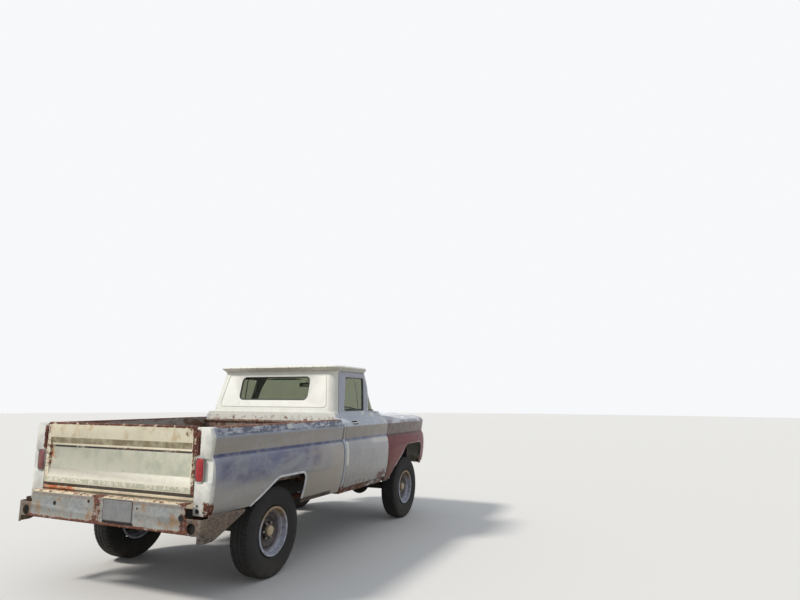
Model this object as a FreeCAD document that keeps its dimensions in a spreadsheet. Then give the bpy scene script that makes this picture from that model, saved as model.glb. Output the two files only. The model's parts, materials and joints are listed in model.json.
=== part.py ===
import FreeCAD, Part, Sketcher
import math
import os

# Pickup truck with a short wide bed and four-wheel drive.
# Millimetres, +X to the truck's right, +Y ahead, +Z up, origin on the ground
# below the middle of the truck's length.

Vector = FreeCAD.Vector
doc = FreeCAD.newDocument("PickupTruck")
sheet = doc.addObject("Spreadsheet::Sheet", "Sizes")

# Driving sizes: name, value
SIZES = (
    ("wheelbase", 2921), ("rear_overhang", 1040), ("front_overhang", 839),
    ("body_half_width", 1000), ("sheet_metal", 12), ("panel_gap", 9), ("seat_gap", 0.3),
    # Heights above the ground
    ("crease_height", 1092), ("ridge_height", 1238), ("belt_height", 1382),
    ("gutter_height", 1838), ("roof_crown", 94), ("rail_height", 1312),
    ("door_bottom", 605), ("sill_bottom", 545), ("cab_floor_height", 702.3),
    ("bed_floor_height", 800), ("bed_bottom_front", 578), ("bed_bottom_rear", 672),
    ("hood_height", 1358), ("frame_top", 690), ("frame_depth", 130),
    # Cab, measured back from the front axle
    ("axle_to_door", 784), ("door_length", 1042), ("cab_corner_length", 35), ("bed_gap", 30),
    ("belt_inset", 152), ("gutter_inset", 70), ("frame_wall", 34),
    ("door_depth", 115), ("door_slant", 0.36), ("hinge_inset", 15), ("hinge_depth", 10),
    ("back_wall", 34), ("jamb_inset", 17), ("roof_overhang", 26), ("visor_length", 40),
    # Side window
    ("window_rise", 12), ("window_drop", 66), ("window_corner", 26), ("glass_thickness", 5),
    # Rear window
    ("rear_window_rise", 128), ("rear_window_drop", 62), ("rear_window_half", 470),
    # Bed
    ("tailgate_setback", 955), ("post_width", 175), ("tailgate_thickness", 40),
    ("tailgate_bottom", 812), ("tailgate_top", 1320), ("tailgate_gap", 6),
    ("bed_side_depth", 144), ("post_length", 58), ("post_bottom", 672), ("post_corner", 45),
    ("wheelhouse_inner", 600), ("wheelhouse_top", 1005), ("wheelhouse_length", 860),
    ("tailgate_hinge_height", 815), ("tailgate_hinge_inset", 15), ("hinge_pin_radius", 8),
    ("sill_top", 794), ("bed_crossmember_depth", 62), ("stake_pocket_length", 62),
    ("stake_pocket_width", 36),
    # Wheels
    ("tyre_radius", 385), ("tyre_width", 195), ("wheel_track_half", 795),
    ("rim_radius", 190), ("rim_flange_radius", 208), ("rim_wall", 6), ("disc_offset", 8),
    ("hub_radius", 58), ("bolt_circle_radius", 69.85), ("lug_count", 6), ("lug_radius", 11),
    ("drum_radius", 140), ("stub_radius", 30),
    # Chassis
    ("frame_half_width", 430), ("frame_flange", 60), ("frame_wall_thickness", 8),
    ("axle_tube_radius", 42), ("spring_width", 60), ("spring_leaf", 9), ("leaf_count", 6),
    ("rear_spring_length", 1300), ("front_spring_length", 1080),
    ("engine_half_width", 210), ("engine_bottom", 620), ("engine_top", 1110),
    ("gearbox_bottom", 600), ("gearbox_top", 770), ("exhaust_height", 470),
    ("kingpin_x", 675), ("kingpin_radius", 14), ("knuckle_barrel_radius", 32),
    ("knuckle_half_height", 75), ("steer_arm_length", 190), ("tie_rod_radius", 10),
    ("stud_gap", 1.2), ("stud_eye_radius", 17),
    # Front end
    ("fender_front", 690), ("apron_x", 640), ("hood_inset", 202), ("hood_taper", 53),
    ("hood_thickness", 12), ("grille_bottom", 862), ("grille_top", 1225),
    ("headlamp_inset", 285), ("headlamp_height", 1060), ("headlamp_radius", 90),
    ("grille_bar_count", 7), ("grille_bar_depth", 16),
    ("front_bumper_low", 620), ("front_bumper_high", 800), ("front_bumper_inset", 200),
    # Rear bumper
    ("bumper_low", 548), ("bumper_high", 765), ("bumper_inset", 40), ("bumper_depth", 62),
    ("bumper_plate", 6), ("bumper_hole_inset", 103), ("bumper_hole_height", 597),
    ("bumper_hole_radius", 40), ("wing_length", 480),
    # Inside the cab
    ("seat_width", 1380), ("seat_height", 1020), ("seat_depth", 500), ("seat_back_height", 1420),
    ("steering_wheel_radius", 215), ("steering_wheel_rim", 13),
)
# Sizes that follow others: name, formula in the sheet
FOLLOWING = (
    ("belt_half_width", "=body_half_width - belt_inset"),
    ("gutter_half_width", "=body_half_width - belt_inset - gutter_inset"),
    ("door_inner", "=body_half_width - door_depth"),
    ("cab_side", "=body_half_width - door_depth - jamb_inset"),
    ("tailgate_half_width", "=body_half_width - post_width"),
    ("bed_inner_half", "=body_half_width - bed_side_depth"),
    ("hood_half_rear", "=body_half_width - hood_inset"),
    ("hood_half_front", "=body_half_width - hood_inset - hood_taper"),
    ("headlamp_x", "=body_half_width - headlamp_inset"),
    ("front_bumper_half", "=body_half_width - front_bumper_inset"),
    ("bumper_half", "=body_half_width - bumper_inset"),
    ("bumper_hole_x", "=body_half_width - bumper_hole_inset"),
    ("wing_reach", "=body_half_width"),
    ("window_low", "=belt_height + window_rise"),
    ("window_high", "=gutter_height - window_drop"),
    ("rear_window_low", "=belt_height + rear_window_rise"),
    ("rear_window_high", "=gutter_height - rear_window_drop"),
    ("roof_height", "=gutter_height + roof_crown"),
)
for row, (name, value) in enumerate(SIZES + FOLLOWING, start=1):
    sheet.set(f"A{row}", name)
    sheet.set(f"B{row}", str(value))
    sheet.setAlias(f"B{row}", name)
doc.recompute()


class Sizes:
    """The sheet's cells by their alias, in millimetres."""


S = Sizes()
for name, value in SIZES + FOLLOWING:
    setattr(S, name, float(sheet.get(name)))

# Places along the truck, worked out from the driving sizes
HALF_LENGTH = (S.rear_overhang + S.wheelbase + S.front_overhang) / 2
REAR_AXLE_Y = S.rear_overhang - HALF_LENGTH
FRONT_AXLE_Y = REAR_AXLE_Y + S.wheelbase
DOOR_FRONT_Y = FRONT_AXLE_Y - S.axle_to_door
DOOR_REAR_Y = DOOR_FRONT_Y - S.door_length
CAB_BACK_Y = DOOR_REAR_Y - S.cab_corner_length
BED_FRONT_Y = CAB_BACK_Y - S.bed_gap
TAILGATE_Y = REAR_AXLE_Y - S.tailgate_setback
BUMPER_Y = REAR_AXLE_Y - S.rear_overhang
BED_LENGTH = BED_FRONT_Y - TAILGATE_Y
FENDER_REAR_Y = DOOR_FRONT_Y + S.panel_gap
FENDER_FRONT_Y = FRONT_AXLE_Y + S.fender_front
HOOD_REAR_Y = DOOR_FRONT_Y + 335
FIREWALL_Y = HOOD_REAR_Y - 60
ENGINE_Y = DOOR_FRONT_Y + 300
HINGE_X = S.body_half_width - S.hinge_depth
HINGE_Y = DOOR_FRONT_Y - S.hinge_inset

SIDES = (("left", -1), ("right", 1))


# Outlines and solids

def on_x(x):
    """Place of an outline's point (y, z) on the plane at x."""
    return lambda u, v: Vector(x, u, v)


def on_y(y):
    """Place of an outline's point (x, z) on the plane at y."""
    return lambda u, v: Vector(u, y, v)


def on_z(z):
    """Place of an outline's point (x, y) on the plane at z."""
    return lambda u, v: Vector(u, v, z)


def rounded_wire(rows, place):
    """Closed wire through corner rows (u, v, radius), each corner rounded by an arc."""
    corners = [(place(u, v), radius) for u, v, radius in rows]
    count = len(corners)
    runs = []
    for i, (point, radius) in enumerate(corners):
        back = (corners[i - 1][0] - point).normalize()
        ahead = (corners[(i + 1) % count][0] - point).normalize()
        half_angle = back.getAngle(ahead) / 2
        if radius <= 0 or half_angle > math.radians(89.5):
            runs.append((point, None, point))
            continue
        tangent = radius / math.tan(half_angle)
        middle = (back + ahead).normalize() * (radius / math.sin(half_angle) - radius)
        runs.append((point + back * tangent, point + middle, point + ahead * tangent))
    edges = []
    for i, (start, middle, end) in enumerate(runs):
        if middle is not None:
            edges.append(Part.Arc(start, middle, end).toShape())
        following = runs[(i + 1) % count][0]
        if end.distanceToPoint(following) > 1e-6:
            edges.append(Part.LineSegment(end, following).toShape())
    return Part.Wire(edges)


def prism(rows, place, reach):
    """Solid of an outline carried along the vector reach."""
    return Part.Face(rounded_wire(rows, place)).extrude(reach)


def slab(x0, x1, y0, y1, z0, z1):
    """Box between two corners."""
    return Part.makeBox(x1 - x0, y1 - y0, z1 - z0, Vector(x0, y0, z0))


def rod(radius, start, end):
    """Round bar from start to end."""
    return Part.makeCylinder(radius, start.distanceToPoint(end), start, end - start)


def mirrored(shape, side):
    """The right-hand shape for side 1, its mirror image for side -1."""
    return shape if side > 0 else shape.mirror(Vector(0, 0, 0), Vector(1, 0, 0))


def fused(shapes):
    """One solid of several that meet."""
    whole = shapes[0]
    for shape in shapes[1:]:
        whole = whole.fuse(shape)
    return whole.removeSplitter()


def arch_row(rows, axle_y):
    """Outline rows measured from an axle, moved to its place along the truck."""
    return [(axle_y + u, v, radius) for u, v, radius in rows]


# Body side

# Outer skin from the bottom up: inset from the widest line, height below the crease, radius
SKIN = (
    (88, 560, 0),
    (50, 460, 400),
    (18, 350, 400),
    (2, 220, 400),
    (0, 110, 250),
    (12, 34, 70),
)
CREASE_INSET = 34
RIDGE_INSET = 12

# Wheel openings, measured from the axle: y, height, radius
REAR_ARCH = (
    (330, 400, 0),
    (330, 863, 70),
    (-110, 863, 160),
    (-560, 610, 120),
    (-700, 400, 0),
)
FRONT_ARCH = (
    (345, 400, 0),
    (345, 962, 110),
    (-200, 962, 170),
    (-500, 740, 160),
    (-760, 400, 0),
)


def skin_rows(thickness=0.0):
    """Outer skin, or the same line moved inboard by a sheet's thickness."""
    rows = [(S.body_half_width - inset - thickness, S.crease_height - drop, radius)
            for inset, drop, radius in SKIN]
    rows.append((S.body_half_width - CREASE_INSET - thickness, S.crease_height, 10))
    rows.append((S.body_half_width - RIDGE_INSET - thickness, S.ridge_height, 20))
    return rows


def bed_outline(inner, thickness=0.0, low=None):
    """Closed section of one bed side with its top rail."""
    rail = S.rail_height - thickness
    low = S.crease_height - SKIN[0][1] if low is None else low
    rows = skin_rows(thickness)
    rows[0] = (rows[0][0], low, 0)
    rows.append((S.body_half_width - 45 - thickness, rail - 6, 10))
    rows.append((S.body_half_width - 62 - thickness, rail, 8))
    rows.append((inner + thickness, rail, 6))
    rows.append((inner + thickness, low, 0))
    return rows


def bed_side(side):
    """Double-walled side: outer skin, top rail with stake pockets, inner wall, rear post."""
    wall = S.sheet_metal
    length = Vector(0, BED_LENGTH, 0)
    shell = prism(bed_outline(S.bed_inner_half), on_y(TAILGATE_Y), length)
    hollow = prism(bed_outline(S.bed_inner_half, wall, S.sill_bottom - 60),
                   on_y(TAILGATE_Y + S.post_length), Vector(0, BED_LENGTH - S.post_length - wall, 0))
    shell = shell.cut(hollow)
    shell = shell.cut(slab(S.bed_inner_half - 5, S.bed_inner_half + wall + 1, TAILGATE_Y - 5,
                           BED_FRONT_Y + 5, 0, S.bed_floor_height))
    post_inner = S.tailgate_half_width + S.tailgate_gap
    post = prism(bed_outline(post_inner), on_y(TAILGATE_Y), Vector(0, S.post_length, 0))
    shell = shell.fuse(post)
    shell = shell.cut(prism(arch_row(REAR_ARCH, REAR_AXLE_Y), on_x(S.bed_inner_half + 2 * wall),
                            Vector(300, 0, 0)))
    behind = REAR_AXLE_Y - 400
    shell = shell.cut(slab(0, 1200, TAILGATE_Y - 5, behind, 0, S.bed_bottom_rear))
    shell = shell.cut(slab(0, 1200, behind - 1, BED_FRONT_Y + 5, 0, S.bed_bottom_front))
    corner = prism(((0, TAILGATE_Y, 0), (S.body_half_width, TAILGATE_Y, S.post_corner),
                    (S.body_half_width, BED_FRONT_Y, 0), (0, BED_FRONT_Y, 0)),
                   on_z(0), Vector(0, 0, 2000))
    shell = shell.common(corner)
    for share in (0.03, 0.5, 0.93):
        y = TAILGATE_Y + S.post_length + share * (BED_LENGTH - S.post_length)
        middle = (S.bed_inner_half + S.body_half_width - 62) / 2
        shell = shell.cut(slab(middle - S.stake_pocket_width / 2, middle + S.stake_pocket_width / 2,
                               y, y + S.stake_pocket_length, S.rail_height - wall - 1,
                               S.rail_height + 5))
    pin = Vector(0, TAILGATE_Y + S.tailgate_hinge_inset, S.tailgate_hinge_height)
    hole = rod(S.hinge_pin_radius + S.seat_gap, pin + Vector(post_inner - 5, 0, 0),
               pin + Vector(post_inner + 14, 0, 0))
    lamp = slab(post_inner + 6, S.body_half_width + 20, TAILGATE_Y - 5, TAILGATE_Y + 14, 915, 1085)
    return mirrored(shell.cut(hole).cut(lamp), side)


def tail_lamps():
    """Tall red lamp in each rear post."""
    x0 = S.tailgate_half_width + S.tailgate_gap + 6 + S.seat_gap
    lamp = prism(((x0, TAILGATE_Y + 14 - S.seat_gap, 0), (x0, TAILGATE_Y - 12, 12),
                  (x0 + 88, TAILGATE_Y - 12, 30), (x0 + 96, TAILGATE_Y + 14 - S.seat_gap, 0)),
                 on_z(915 + S.seat_gap), Vector(0, 0, 170 - 2 * S.seat_gap))
    return Part.makeCompound([mirrored(lamp, side) for _, side in SIDES])


def wheelhouses():
    """Box over each rear wheel, its walls let into the bed floor."""
    wall = 8
    half = S.wheelhouse_length / 2
    floor = S.bed_floor_height - 10
    rows = ((REAR_AXLE_Y - half, floor, 0), (REAR_AXLE_Y - half + 50, S.wheelhouse_top, 130),
            (REAR_AXLE_Y + half - 50, S.wheelhouse_top, 130), (REAR_AXLE_Y + half, floor, 0))
    hollow = ((REAR_AXLE_Y - half + wall, floor - 1, 0),
              (REAR_AXLE_Y - half + 50 + wall, S.wheelhouse_top - wall, 122),
              (REAR_AXLE_Y + half - 50 - wall, S.wheelhouse_top - wall, 122),
              (REAR_AXLE_Y + half - wall, floor - 1, 0))
    reach = S.bed_inner_half - S.seat_gap - S.wheelhouse_inner
    box = prism(rows, on_x(S.wheelhouse_inner), Vector(reach, 0, 0))
    box = box.cut(prism(hollow, on_x(S.wheelhouse_inner + wall), Vector(reach, 0, 0)))
    return Part.makeCompound([mirrored(box, side) for _, side in SIDES])


def bed_floor():
    """Floor with raised strips, cross members below it and the sill under the tailgate."""
    half = S.bed_inner_half - S.seat_gap
    top = S.bed_floor_height - S.seat_gap
    y0 = TAILGATE_Y + S.tailgate_thickness + 8
    y1 = BED_FRONT_Y - S.sheet_metal - S.seat_gap
    parts = [slab(-half, half, y0, y1, top - 12, top)]
    below = top - 12
    for share in (0.1, 0.32, 0.58, 0.8, 0.96):
        y = y0 + share * (y1 - y0)
        parts.append(slab(-half + 20, half - 20, y - 30, y + 30,
                          below - S.bed_crossmember_depth, below))
        for _, side in SIDES:
            pad = slab(S.frame_half_width - 26, S.frame_half_width + 26, y - 25, y + 25,
                       S.frame_top + S.seat_gap, below - 5)
            parts.append(mirrored(pad, side))
    sill_half = S.tailgate_half_width
    sill = ((TAILGATE_Y + 2, 775, 4), (TAILGATE_Y + 2, S.sill_top, 4), (y0 + 20, S.sill_top, 0),
            (y0 + 20, 712, 0), (TAILGATE_Y + 14, 712, 6), (TAILGATE_Y + 14, 770, 4))
    parts.append(prism(sill, on_x(-sill_half), Vector(2 * sill_half, 0, 0)))
    floor = fused(parts)
    well = S.wheelhouse_length / 2 + S.seat_gap
    post = TAILGATE_Y + S.post_length + S.seat_gap
    for _, side in SIDES:
        corner = slab(S.tailgate_half_width + S.tailgate_gap - S.seat_gap, 900, y0 - 5, post,
                      top - 20, top + 5)
        floor = floor.cut(mirrored(corner, side))
        cut = slab(S.wheelhouse_inner - S.seat_gap, 900, REAR_AXLE_Y - well, REAR_AXLE_Y + well, 600, 900)
        floor = floor.cut(mirrored(cut, side))
    return floor


def bed_front():
    """Front panel of the bed with a rolled top edge."""
    half = S.bed_inner_half - S.seat_gap
    y1 = BED_FRONT_Y
    y0 = y1 - S.sheet_metal
    top = S.rail_height - 18
    rows = ((y0, S.bed_floor_height - 60, 0), (y0, top - 30, 3), (y0 - 18, top - 22, 6),
            (y0 - 18, top, 8), (y1, top, 6), (y1, S.bed_floor_height - 60, 0))
    return prism(rows, on_x(-half), Vector(2 * half, 0, 0))


def tailgate():
    """Tailgate with a wide bare recessed panel, turning on two pins at its lower corners."""
    outer = TAILGATE_Y
    inner = TAILGATE_Y + S.tailgate_thickness
    low = S.tailgate_bottom
    half = S.tailgate_half_width
    rows = ((outer, low, 4), (outer, S.tailgate_top, 7), (inner, S.tailgate_top, 5), (inner, low, 4))
    gate = prism(rows, on_x(-half), Vector(2 * half, 0, 0))
    recess = ((outer - 1, 867, 0), (outer + 12, 940, 6), (outer + 12, 1143, 6),
              (outer - 1, 1192, 0))
    gate = gate.cut(prism(recess, on_x(-785), Vector(1570, 0, 0)))
    panel = ((inner + 1, 880, 0), (inner - 10, 890, 4), (inner - 10, 1250, 4), (inner + 1, 1260, 0))
    gate = gate.cut(prism(panel, on_x(-740), Vector(1480, 0, 0)))
    pin = Vector(0, TAILGATE_Y + S.tailgate_hinge_inset, S.tailgate_hinge_height)
    reach = half + S.tailgate_gap + 12
    for _, side in SIDES:
        gate = gate.fuse(rod(S.hinge_pin_radius, pin + Vector(side * (half - 30), 0, 0),
                             pin + Vector(side * reach, 0, 0)))
    return gate


# Cab

def cab_outline(half_width, back, pillar, corner, front, ease):
    """Plan of the glass house: flat back, flat sides, wrapped glass in front."""
    return (
        (-half_width, back, 95 * ease),
        (half_width, back, 95 * ease),
        (half_width - 4, pillar, 200 * ease),
        (corner[0], corner[1], 150 * ease),
        (0, front, 900 * ease),
        (-corner[0], corner[1], 150 * ease),
        (-half_width + 4, pillar, 200 * ease),
    )


GLASS_RAKE = 290
BACK_RAKE = 114
BELT_FRONT_Y = HOOD_REAR_Y - 22
# Rear end and inner edge of the sill under the wrapped glass
DOGLEG_Y = DOOR_FRONT_Y - 320
DOGLEG_INNER = 73
# Plan at the belt and at the gutter: back, door pillar, glass corner, middle of the glass
BELT_PLAN = dict(back=CAB_BACK_Y + 20, pillar=DOOR_FRONT_Y - 110,
                 corner_x=S.belt_half_width - 128,
                 corner_y=DOOR_FRONT_Y + 150, front=BELT_FRONT_Y)
TOP_PLAN = dict(back=CAB_BACK_Y + 20 + BACK_RAKE, pillar=DOOR_FRONT_Y - 222,
                corner_x=S.gutter_half_width - 128,
                corner_y=DOOR_FRONT_Y - 82, front=BELT_FRONT_Y - GLASS_RAKE)


def plan_rows(plan, half_width, inset):
    """Rows of one plan, moved in by the wall."""
    corner = (plan["corner_x"] - inset * 0.8, plan["corner_y"] - inset * 0.8)
    return cab_outline(half_width - inset, plan["back"] + inset, plan["pillar"] - inset * 0.3,
                       corner, plan["front"] - inset, 1 - inset / 320)


def glass_house(inset=0.0, low=None, high=None):
    """Solid between the belt's plan and the gutter's plan."""
    low = S.belt_height if low is None else low
    high = S.gutter_height if high is None else high
    share_low = (low - S.belt_height) / (S.gutter_height - S.belt_height)
    share_high = (high - S.belt_height) / (S.gutter_height - S.belt_height)

    def mix(a, b, share):
        return a + (b - a) * share

    wires = []
    for share, height in ((share_low, low), (share_high, high)):
        plan = {key: mix(BELT_PLAN[key], TOP_PLAN[key], share) for key in BELT_PLAN}
        half_width = mix(S.belt_half_width, S.gutter_half_width, share)
        wires.append(rounded_wire(plan_rows(plan, half_width, inset), on_z(height)))
    return Part.makeLoft(wires, True, True)


def belt_block(inset, low, high):
    """Block with the belt's plan, moved in by inset, between two heights."""
    rows = plan_rows(BELT_PLAN, S.belt_half_width, inset)
    return prism(rows, on_z(low), Vector(0, 0, high - low))


def door_outline(grow=0.0):
    """Door edge line: y, height, radius, on the plane of the hinge."""
    rear = DOOR_REAR_Y - grow
    front = DOOR_FRONT_Y + grow
    low = S.door_bottom - grow
    high = S.gutter_height - 8 + grow * 0.5
    return (
        (rear, low, 30),
        (front, low, 20),
        (front, S.ridge_height + 40, 40),
        (DOOR_FRONT_Y - 120 + grow, S.belt_height - 14 + grow * 0.6, 60),
        (DOOR_FRONT_Y - 355 + grow, S.belt_height - 6 + grow * 0.6, 30),
        (DOOR_FRONT_Y - 272 + grow, high, 30),
        (DOOR_REAR_Y + 100 - grow, high, 40),
        (DOOR_REAR_Y + 18 - grow, S.belt_height, 60),
        (rear, S.ridge_height + 20, 60),
    )


def door_prism(grow=0.0):
    """Block that holds the right door, slanting ahead as it goes inboard."""
    reach = 330
    start = 70
    rows = [(y - S.door_slant * start, z, radius) for y, z, radius in door_outline(grow)]
    return prism(rows, on_x(HINGE_X + start), Vector(-reach, S.door_slant * reach, 0))


def cab_side_section(inner):
    """Right half of the cab's lower section from sill to belt, inner line at inner."""
    rows = skin_rows()
    rows.append((S.body_half_width - 40, S.ridge_height + 38, 40))
    rows.append((S.body_half_width - 118, S.belt_height - 52, 60))
    rows.append((S.belt_half_width, S.belt_height, 0))
    rows.append((S.belt_half_width - S.frame_wall, S.belt_height, 0))
    rows.append((inner - 60, S.belt_height - 50, 30))
    rows.append((inner, S.ridge_height - 10, 40))
    rows.append((inner, rows[0][1], 0))
    return rows


def window_prism(side_shrink=0.0):
    """Side window opening with its vent, cut through the door's upper frame."""
    low = S.window_low + side_shrink
    high = S.window_high - side_shrink
    rows = (
        (DOOR_REAR_Y + 190 + side_shrink, low, S.window_corner),
        (DOOR_FRONT_Y - 372 - side_shrink, low, S.window_corner),
        (DOOR_FRONT_Y - 280 - side_shrink, high, S.window_corner),
        (DOOR_REAR_Y + 315 + side_shrink, high, S.window_corner),
    )
    return prism(rows, on_x(700), Vector(200, 0, 0))


def door(side):
    """Door: deep lower box, slim upper frame round the window."""
    lower = prism(cab_side_section(S.door_inner), on_y(DOOR_REAR_Y - 60),
                  Vector(0, S.door_length + 200, 0))
    upper = glass_house().cut(glass_house(S.frame_wall, S.belt_height - 1, S.gutter_height + 1))
    upper = upper.common(slab(600, 1000, DOOR_REAR_Y, DOOR_FRONT_Y - 180, S.belt_height - 1,
                              S.gutter_height))
    shape = lower.fuse(upper).common(door_prism())
    shape = shape.cut(window_prism())
    handle = slab(HINGE_X - 70, HINGE_X + 20, DOOR_REAR_Y + 175, DOOR_REAR_Y + 300,
                  S.ridge_height + 14, S.ridge_height + 50)
    shape = shape.cut(handle)
    grip = rod(11, Vector(HINGE_X - 74, DOOR_REAR_Y + 205, S.ridge_height + 32),
               Vector(HINGE_X - 36, DOOR_REAR_Y + 205, S.ridge_height + 32))
    pull = slab(HINGE_X - 48, HINGE_X - 38, DOOR_REAR_Y + 200, DOOR_REAR_Y + 285,
                S.ridge_height + 24, S.ridge_height + 40)
    return mirrored(shape.fuse(grip).fuse(pull), side)


def door_glass(side):
    """Side glass with the vent's divider standing in the window opening."""
    inset = (S.frame_wall - S.glass_thickness) / 2
    sheet_solid = glass_house(inset, S.belt_height + 2, S.gutter_height - 10)
    sheet_solid = sheet_solid.cut(glass_house(inset + S.glass_thickness, S.belt_height,
                                              S.gutter_height))
    return mirrored(sheet_solid.common(window_prism(S.seat_gap)), side)


def cab_shell():
    """Whole cab skin without floor and roof, both door openings cut."""
    wall = S.back_wall
    half = cab_side_section(0)
    low = S.sill_bottom + 5
    outer_rows = [row for row in half[:-4]] + [(0, S.belt_height, 0), (0, half[0][1], 0)]
    right = prism(outer_rows, on_y(CAB_BACK_Y), Vector(0, FENDER_REAR_Y - CAB_BACK_Y - 1, 0))
    lower = fused([right, mirrored(right, -1)])
    jamb = S.cab_side + 24
    cowl_sides = slab(-jamb, jamb, FENDER_REAR_Y - 2, FIREWALL_Y, low, S.ridge_height + 20)
    lower = lower.fuse(cowl_sides)
    lower = lower.cut(slab(-1200, 1200, -3000, 3000, 0, low))
    lower = lower.cut(slab(-S.cab_side + 28, S.cab_side - 28, CAB_BACK_Y - 5,
                           CAB_BACK_Y + wall + 5, 0, S.cab_floor_height - 12))
    for _, side in SIDES:
        strip = slab(jamb, 1200, DOOR_FRONT_Y - 60, FIREWALL_Y, 0, S.ridge_height)
        lower = lower.cut(mirrored(strip, side))
    cavity_rows = (
        (-S.cab_side, low - 1, 0), (-S.cab_side, S.ridge_height - 10, 0),
        (-S.belt_half_width + 80, S.belt_height - 40, 0),
        (-S.belt_half_width + 80, S.belt_height + 1, 0),
        (S.belt_half_width - 80, S.belt_height + 1, 0),
        (S.belt_half_width - 80, S.belt_height - 40, 0),
        (S.cab_side, S.ridge_height - 10, 0), (S.cab_side, low - 1, 0),
    )
    cavity = prism(cavity_rows, on_y(CAB_BACK_Y + wall),
                   Vector(0, FIREWALL_Y + 200 - CAB_BACK_Y - wall, 0))
    lower = lower.cut(cavity)
    ledge = glass_house(0, S.belt_height, S.gutter_height)
    wall_house = ledge.cut(glass_house(S.frame_wall, S.belt_height - 1, S.gutter_height + 1))
    shell = lower.fuse(wall_house)
    return shell


def door_openings(shell):
    """Cut both door openings, leaving two hinge leaves on each front jamb."""
    wide = door_prism(S.panel_gap)
    tight = door_prism(S.seat_gap)
    leaves = [slab(S.cab_side + 2, S.cab_side + 46, DOOR_FRONT_Y - 20, FENDER_REAR_Y + 70, z, z + 50)
              for z in (S.door_bottom + 120, S.crease_height - 40)]
    opened = shell
    for _, side in SIDES:
        opened = opened.cut(mirrored(wide, side))
        for leaf in leaves:
            opened = opened.fuse(mirrored(leaf.cut(tight), side))
    return opened


SHELL = door_openings(cab_shell())
SPLIT_Y = DOOR_FRONT_Y - 500


def cab_back():
    """Back wall, corners and rear door pillars, with the pressed panel and rear window."""
    half = SHELL.common(slab(-1200, 1200, CAB_BACK_Y - 50, SPLIT_Y, 0, S.gutter_height - S.seat_gap))
    rows = ((-S.rear_window_half, S.rear_window_low, 60), (S.rear_window_half, S.rear_window_low, 60),
            (S.rear_window_half, S.rear_window_high, 60), (-S.rear_window_half, S.rear_window_high, 60))
    return half.cut(prism(rows, on_y(CAB_BACK_Y - 50), Vector(0, 300, 0)))


def rear_glass():
    """Rear window glass standing in its opening."""
    gap = S.seat_gap
    rows = ((-S.rear_window_half + gap, S.rear_window_low + gap, 60 - gap),
            (S.rear_window_half - gap, S.rear_window_low + gap, 60 - gap),
            (S.rear_window_half - gap, S.rear_window_high - gap, 60 - gap),
            (-S.rear_window_half + gap, S.rear_window_high - gap, 60 - gap))
    inset = (S.frame_wall - S.glass_thickness) / 2
    pane = glass_house(inset).cut(glass_house(inset + S.glass_thickness, S.belt_height - 1,
                                              S.gutter_height + 1))
    return pane.common(prism(rows, on_y(CAB_BACK_Y - 50), Vector(0, 300, 0)))


def windshield_block(grow=0.0):
    """Block ahead of the front pillars that holds the wrapped glass."""
    low = S.belt_height + 6 - grow
    high = S.gutter_height - 22 + grow
    rows = (
        (DOOR_FRONT_Y - 265 - grow, low, 20),
        (DOOR_FRONT_Y + 600, low, 0),
        (DOOR_FRONT_Y + 600, high, 0),
        (DOOR_FRONT_Y - 160 - grow, high, 30),
    )
    return prism(rows, on_x(-S.body_half_width), Vector(2 * S.body_half_width, 0, 0))


def cab_cowl():
    """Cowl, kick panels, dog-leg sills and front pillars round the windshield opening."""
    half = SHELL.common(slab(-1200, 1200, SPLIT_Y, FIREWALL_Y + 200, 0,
                             S.gutter_height - S.seat_gap))
    half = half.cut(windshield_block())
    thick = S.hood_thickness
    rear = FENDER_REAR_Y
    reach = HOOD_REAR_Y - S.panel_gap - 4
    wires = [crowned_section(y, S.hood_half_rear, S.hood_height, S.rail_height, 26)
             for y in (rear - 300, reach)]
    panel = Part.makeLoft(wires, True, True)
    wires = [crowned_section(y, S.hood_half_rear - thick, S.hood_height - thick,
                             S.rail_height - thick, 27) for y in (rear - 301, reach + 1)]
    panel = panel.cut(Part.makeLoft(wires, True, True))
    inside = prism(plan_rows(BELT_PLAN, S.belt_half_width, S.frame_wall), on_z(0), Vector(0, 0, 2000))
    panel = panel.cut(inside)
    for _, side in SIDES:
        panel = panel.cut(mirrored(door_prism(S.panel_gap), side))
    collar = prism(plan_rows(BELT_PLAN, S.belt_half_width, 0), on_z(S.rail_height - 30),
                   Vector(0, 0, S.belt_height + 6 - S.rail_height + 30)).cut(inside)
    collar = collar.common(slab(-1200, 1200, SPLIT_Y, 3000, 0, 3000))
    for _, side in SIDES:
        collar = collar.cut(mirrored(door_prism(S.panel_gap), side))
    ahead = slab(-1200, 1200, DOGLEG_Y, 3000, 0, 3000)
    well = belt_block(DOGLEG_INNER, S.rail_height - 35, S.belt_height + 10)
    ring = belt_block(S.frame_wall + S.panel_gap, S.rail_height - 30, S.belt_height + 6)
    cap = belt_block(0, S.belt_height, S.belt_height + 6)
    for _, side in SIDES:
        cap = cap.cut(mirrored(door_prism(S.panel_gap), side))
    ring = ring.fuse(cap).cut(well).common(ahead)
    crown = S.hood_height - 6
    edge = S.rail_height - 10
    side_top = S.ridge_height + 20
    half_rows = [(S.cab_side, S.ridge_height - 10), (S.cab_side, side_top),
                 (S.hood_half_rear - 4, side_top), (S.hood_half_rear - 6, edge),
                 (S.hood_half_rear * 0.72, crown - 14)]
    rows = [(x, z, 0) for x, z in half_rows] + [(0, crown, 0)]
    rows += [(-x, z, 0) for x, z in reversed(half_rows)]
    shelf = prism(rows, on_y(FIREWALL_Y - 12), Vector(0, 12, 0))
    return fused([half, collar, ring, panel, shelf])


def windshield():
    """Wrapped windshield glass."""
    inset = (S.frame_wall - S.glass_thickness) / 2
    pane = glass_house(inset).cut(glass_house(inset + S.glass_thickness, S.belt_height - 1,
                                              S.gutter_height + 1))
    pane = pane.common(windshield_block(-S.seat_gap))
    for _, side in SIDES:
        pane = pane.cut(mirrored(door_prism(S.panel_gap), side))
    return pane


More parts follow.
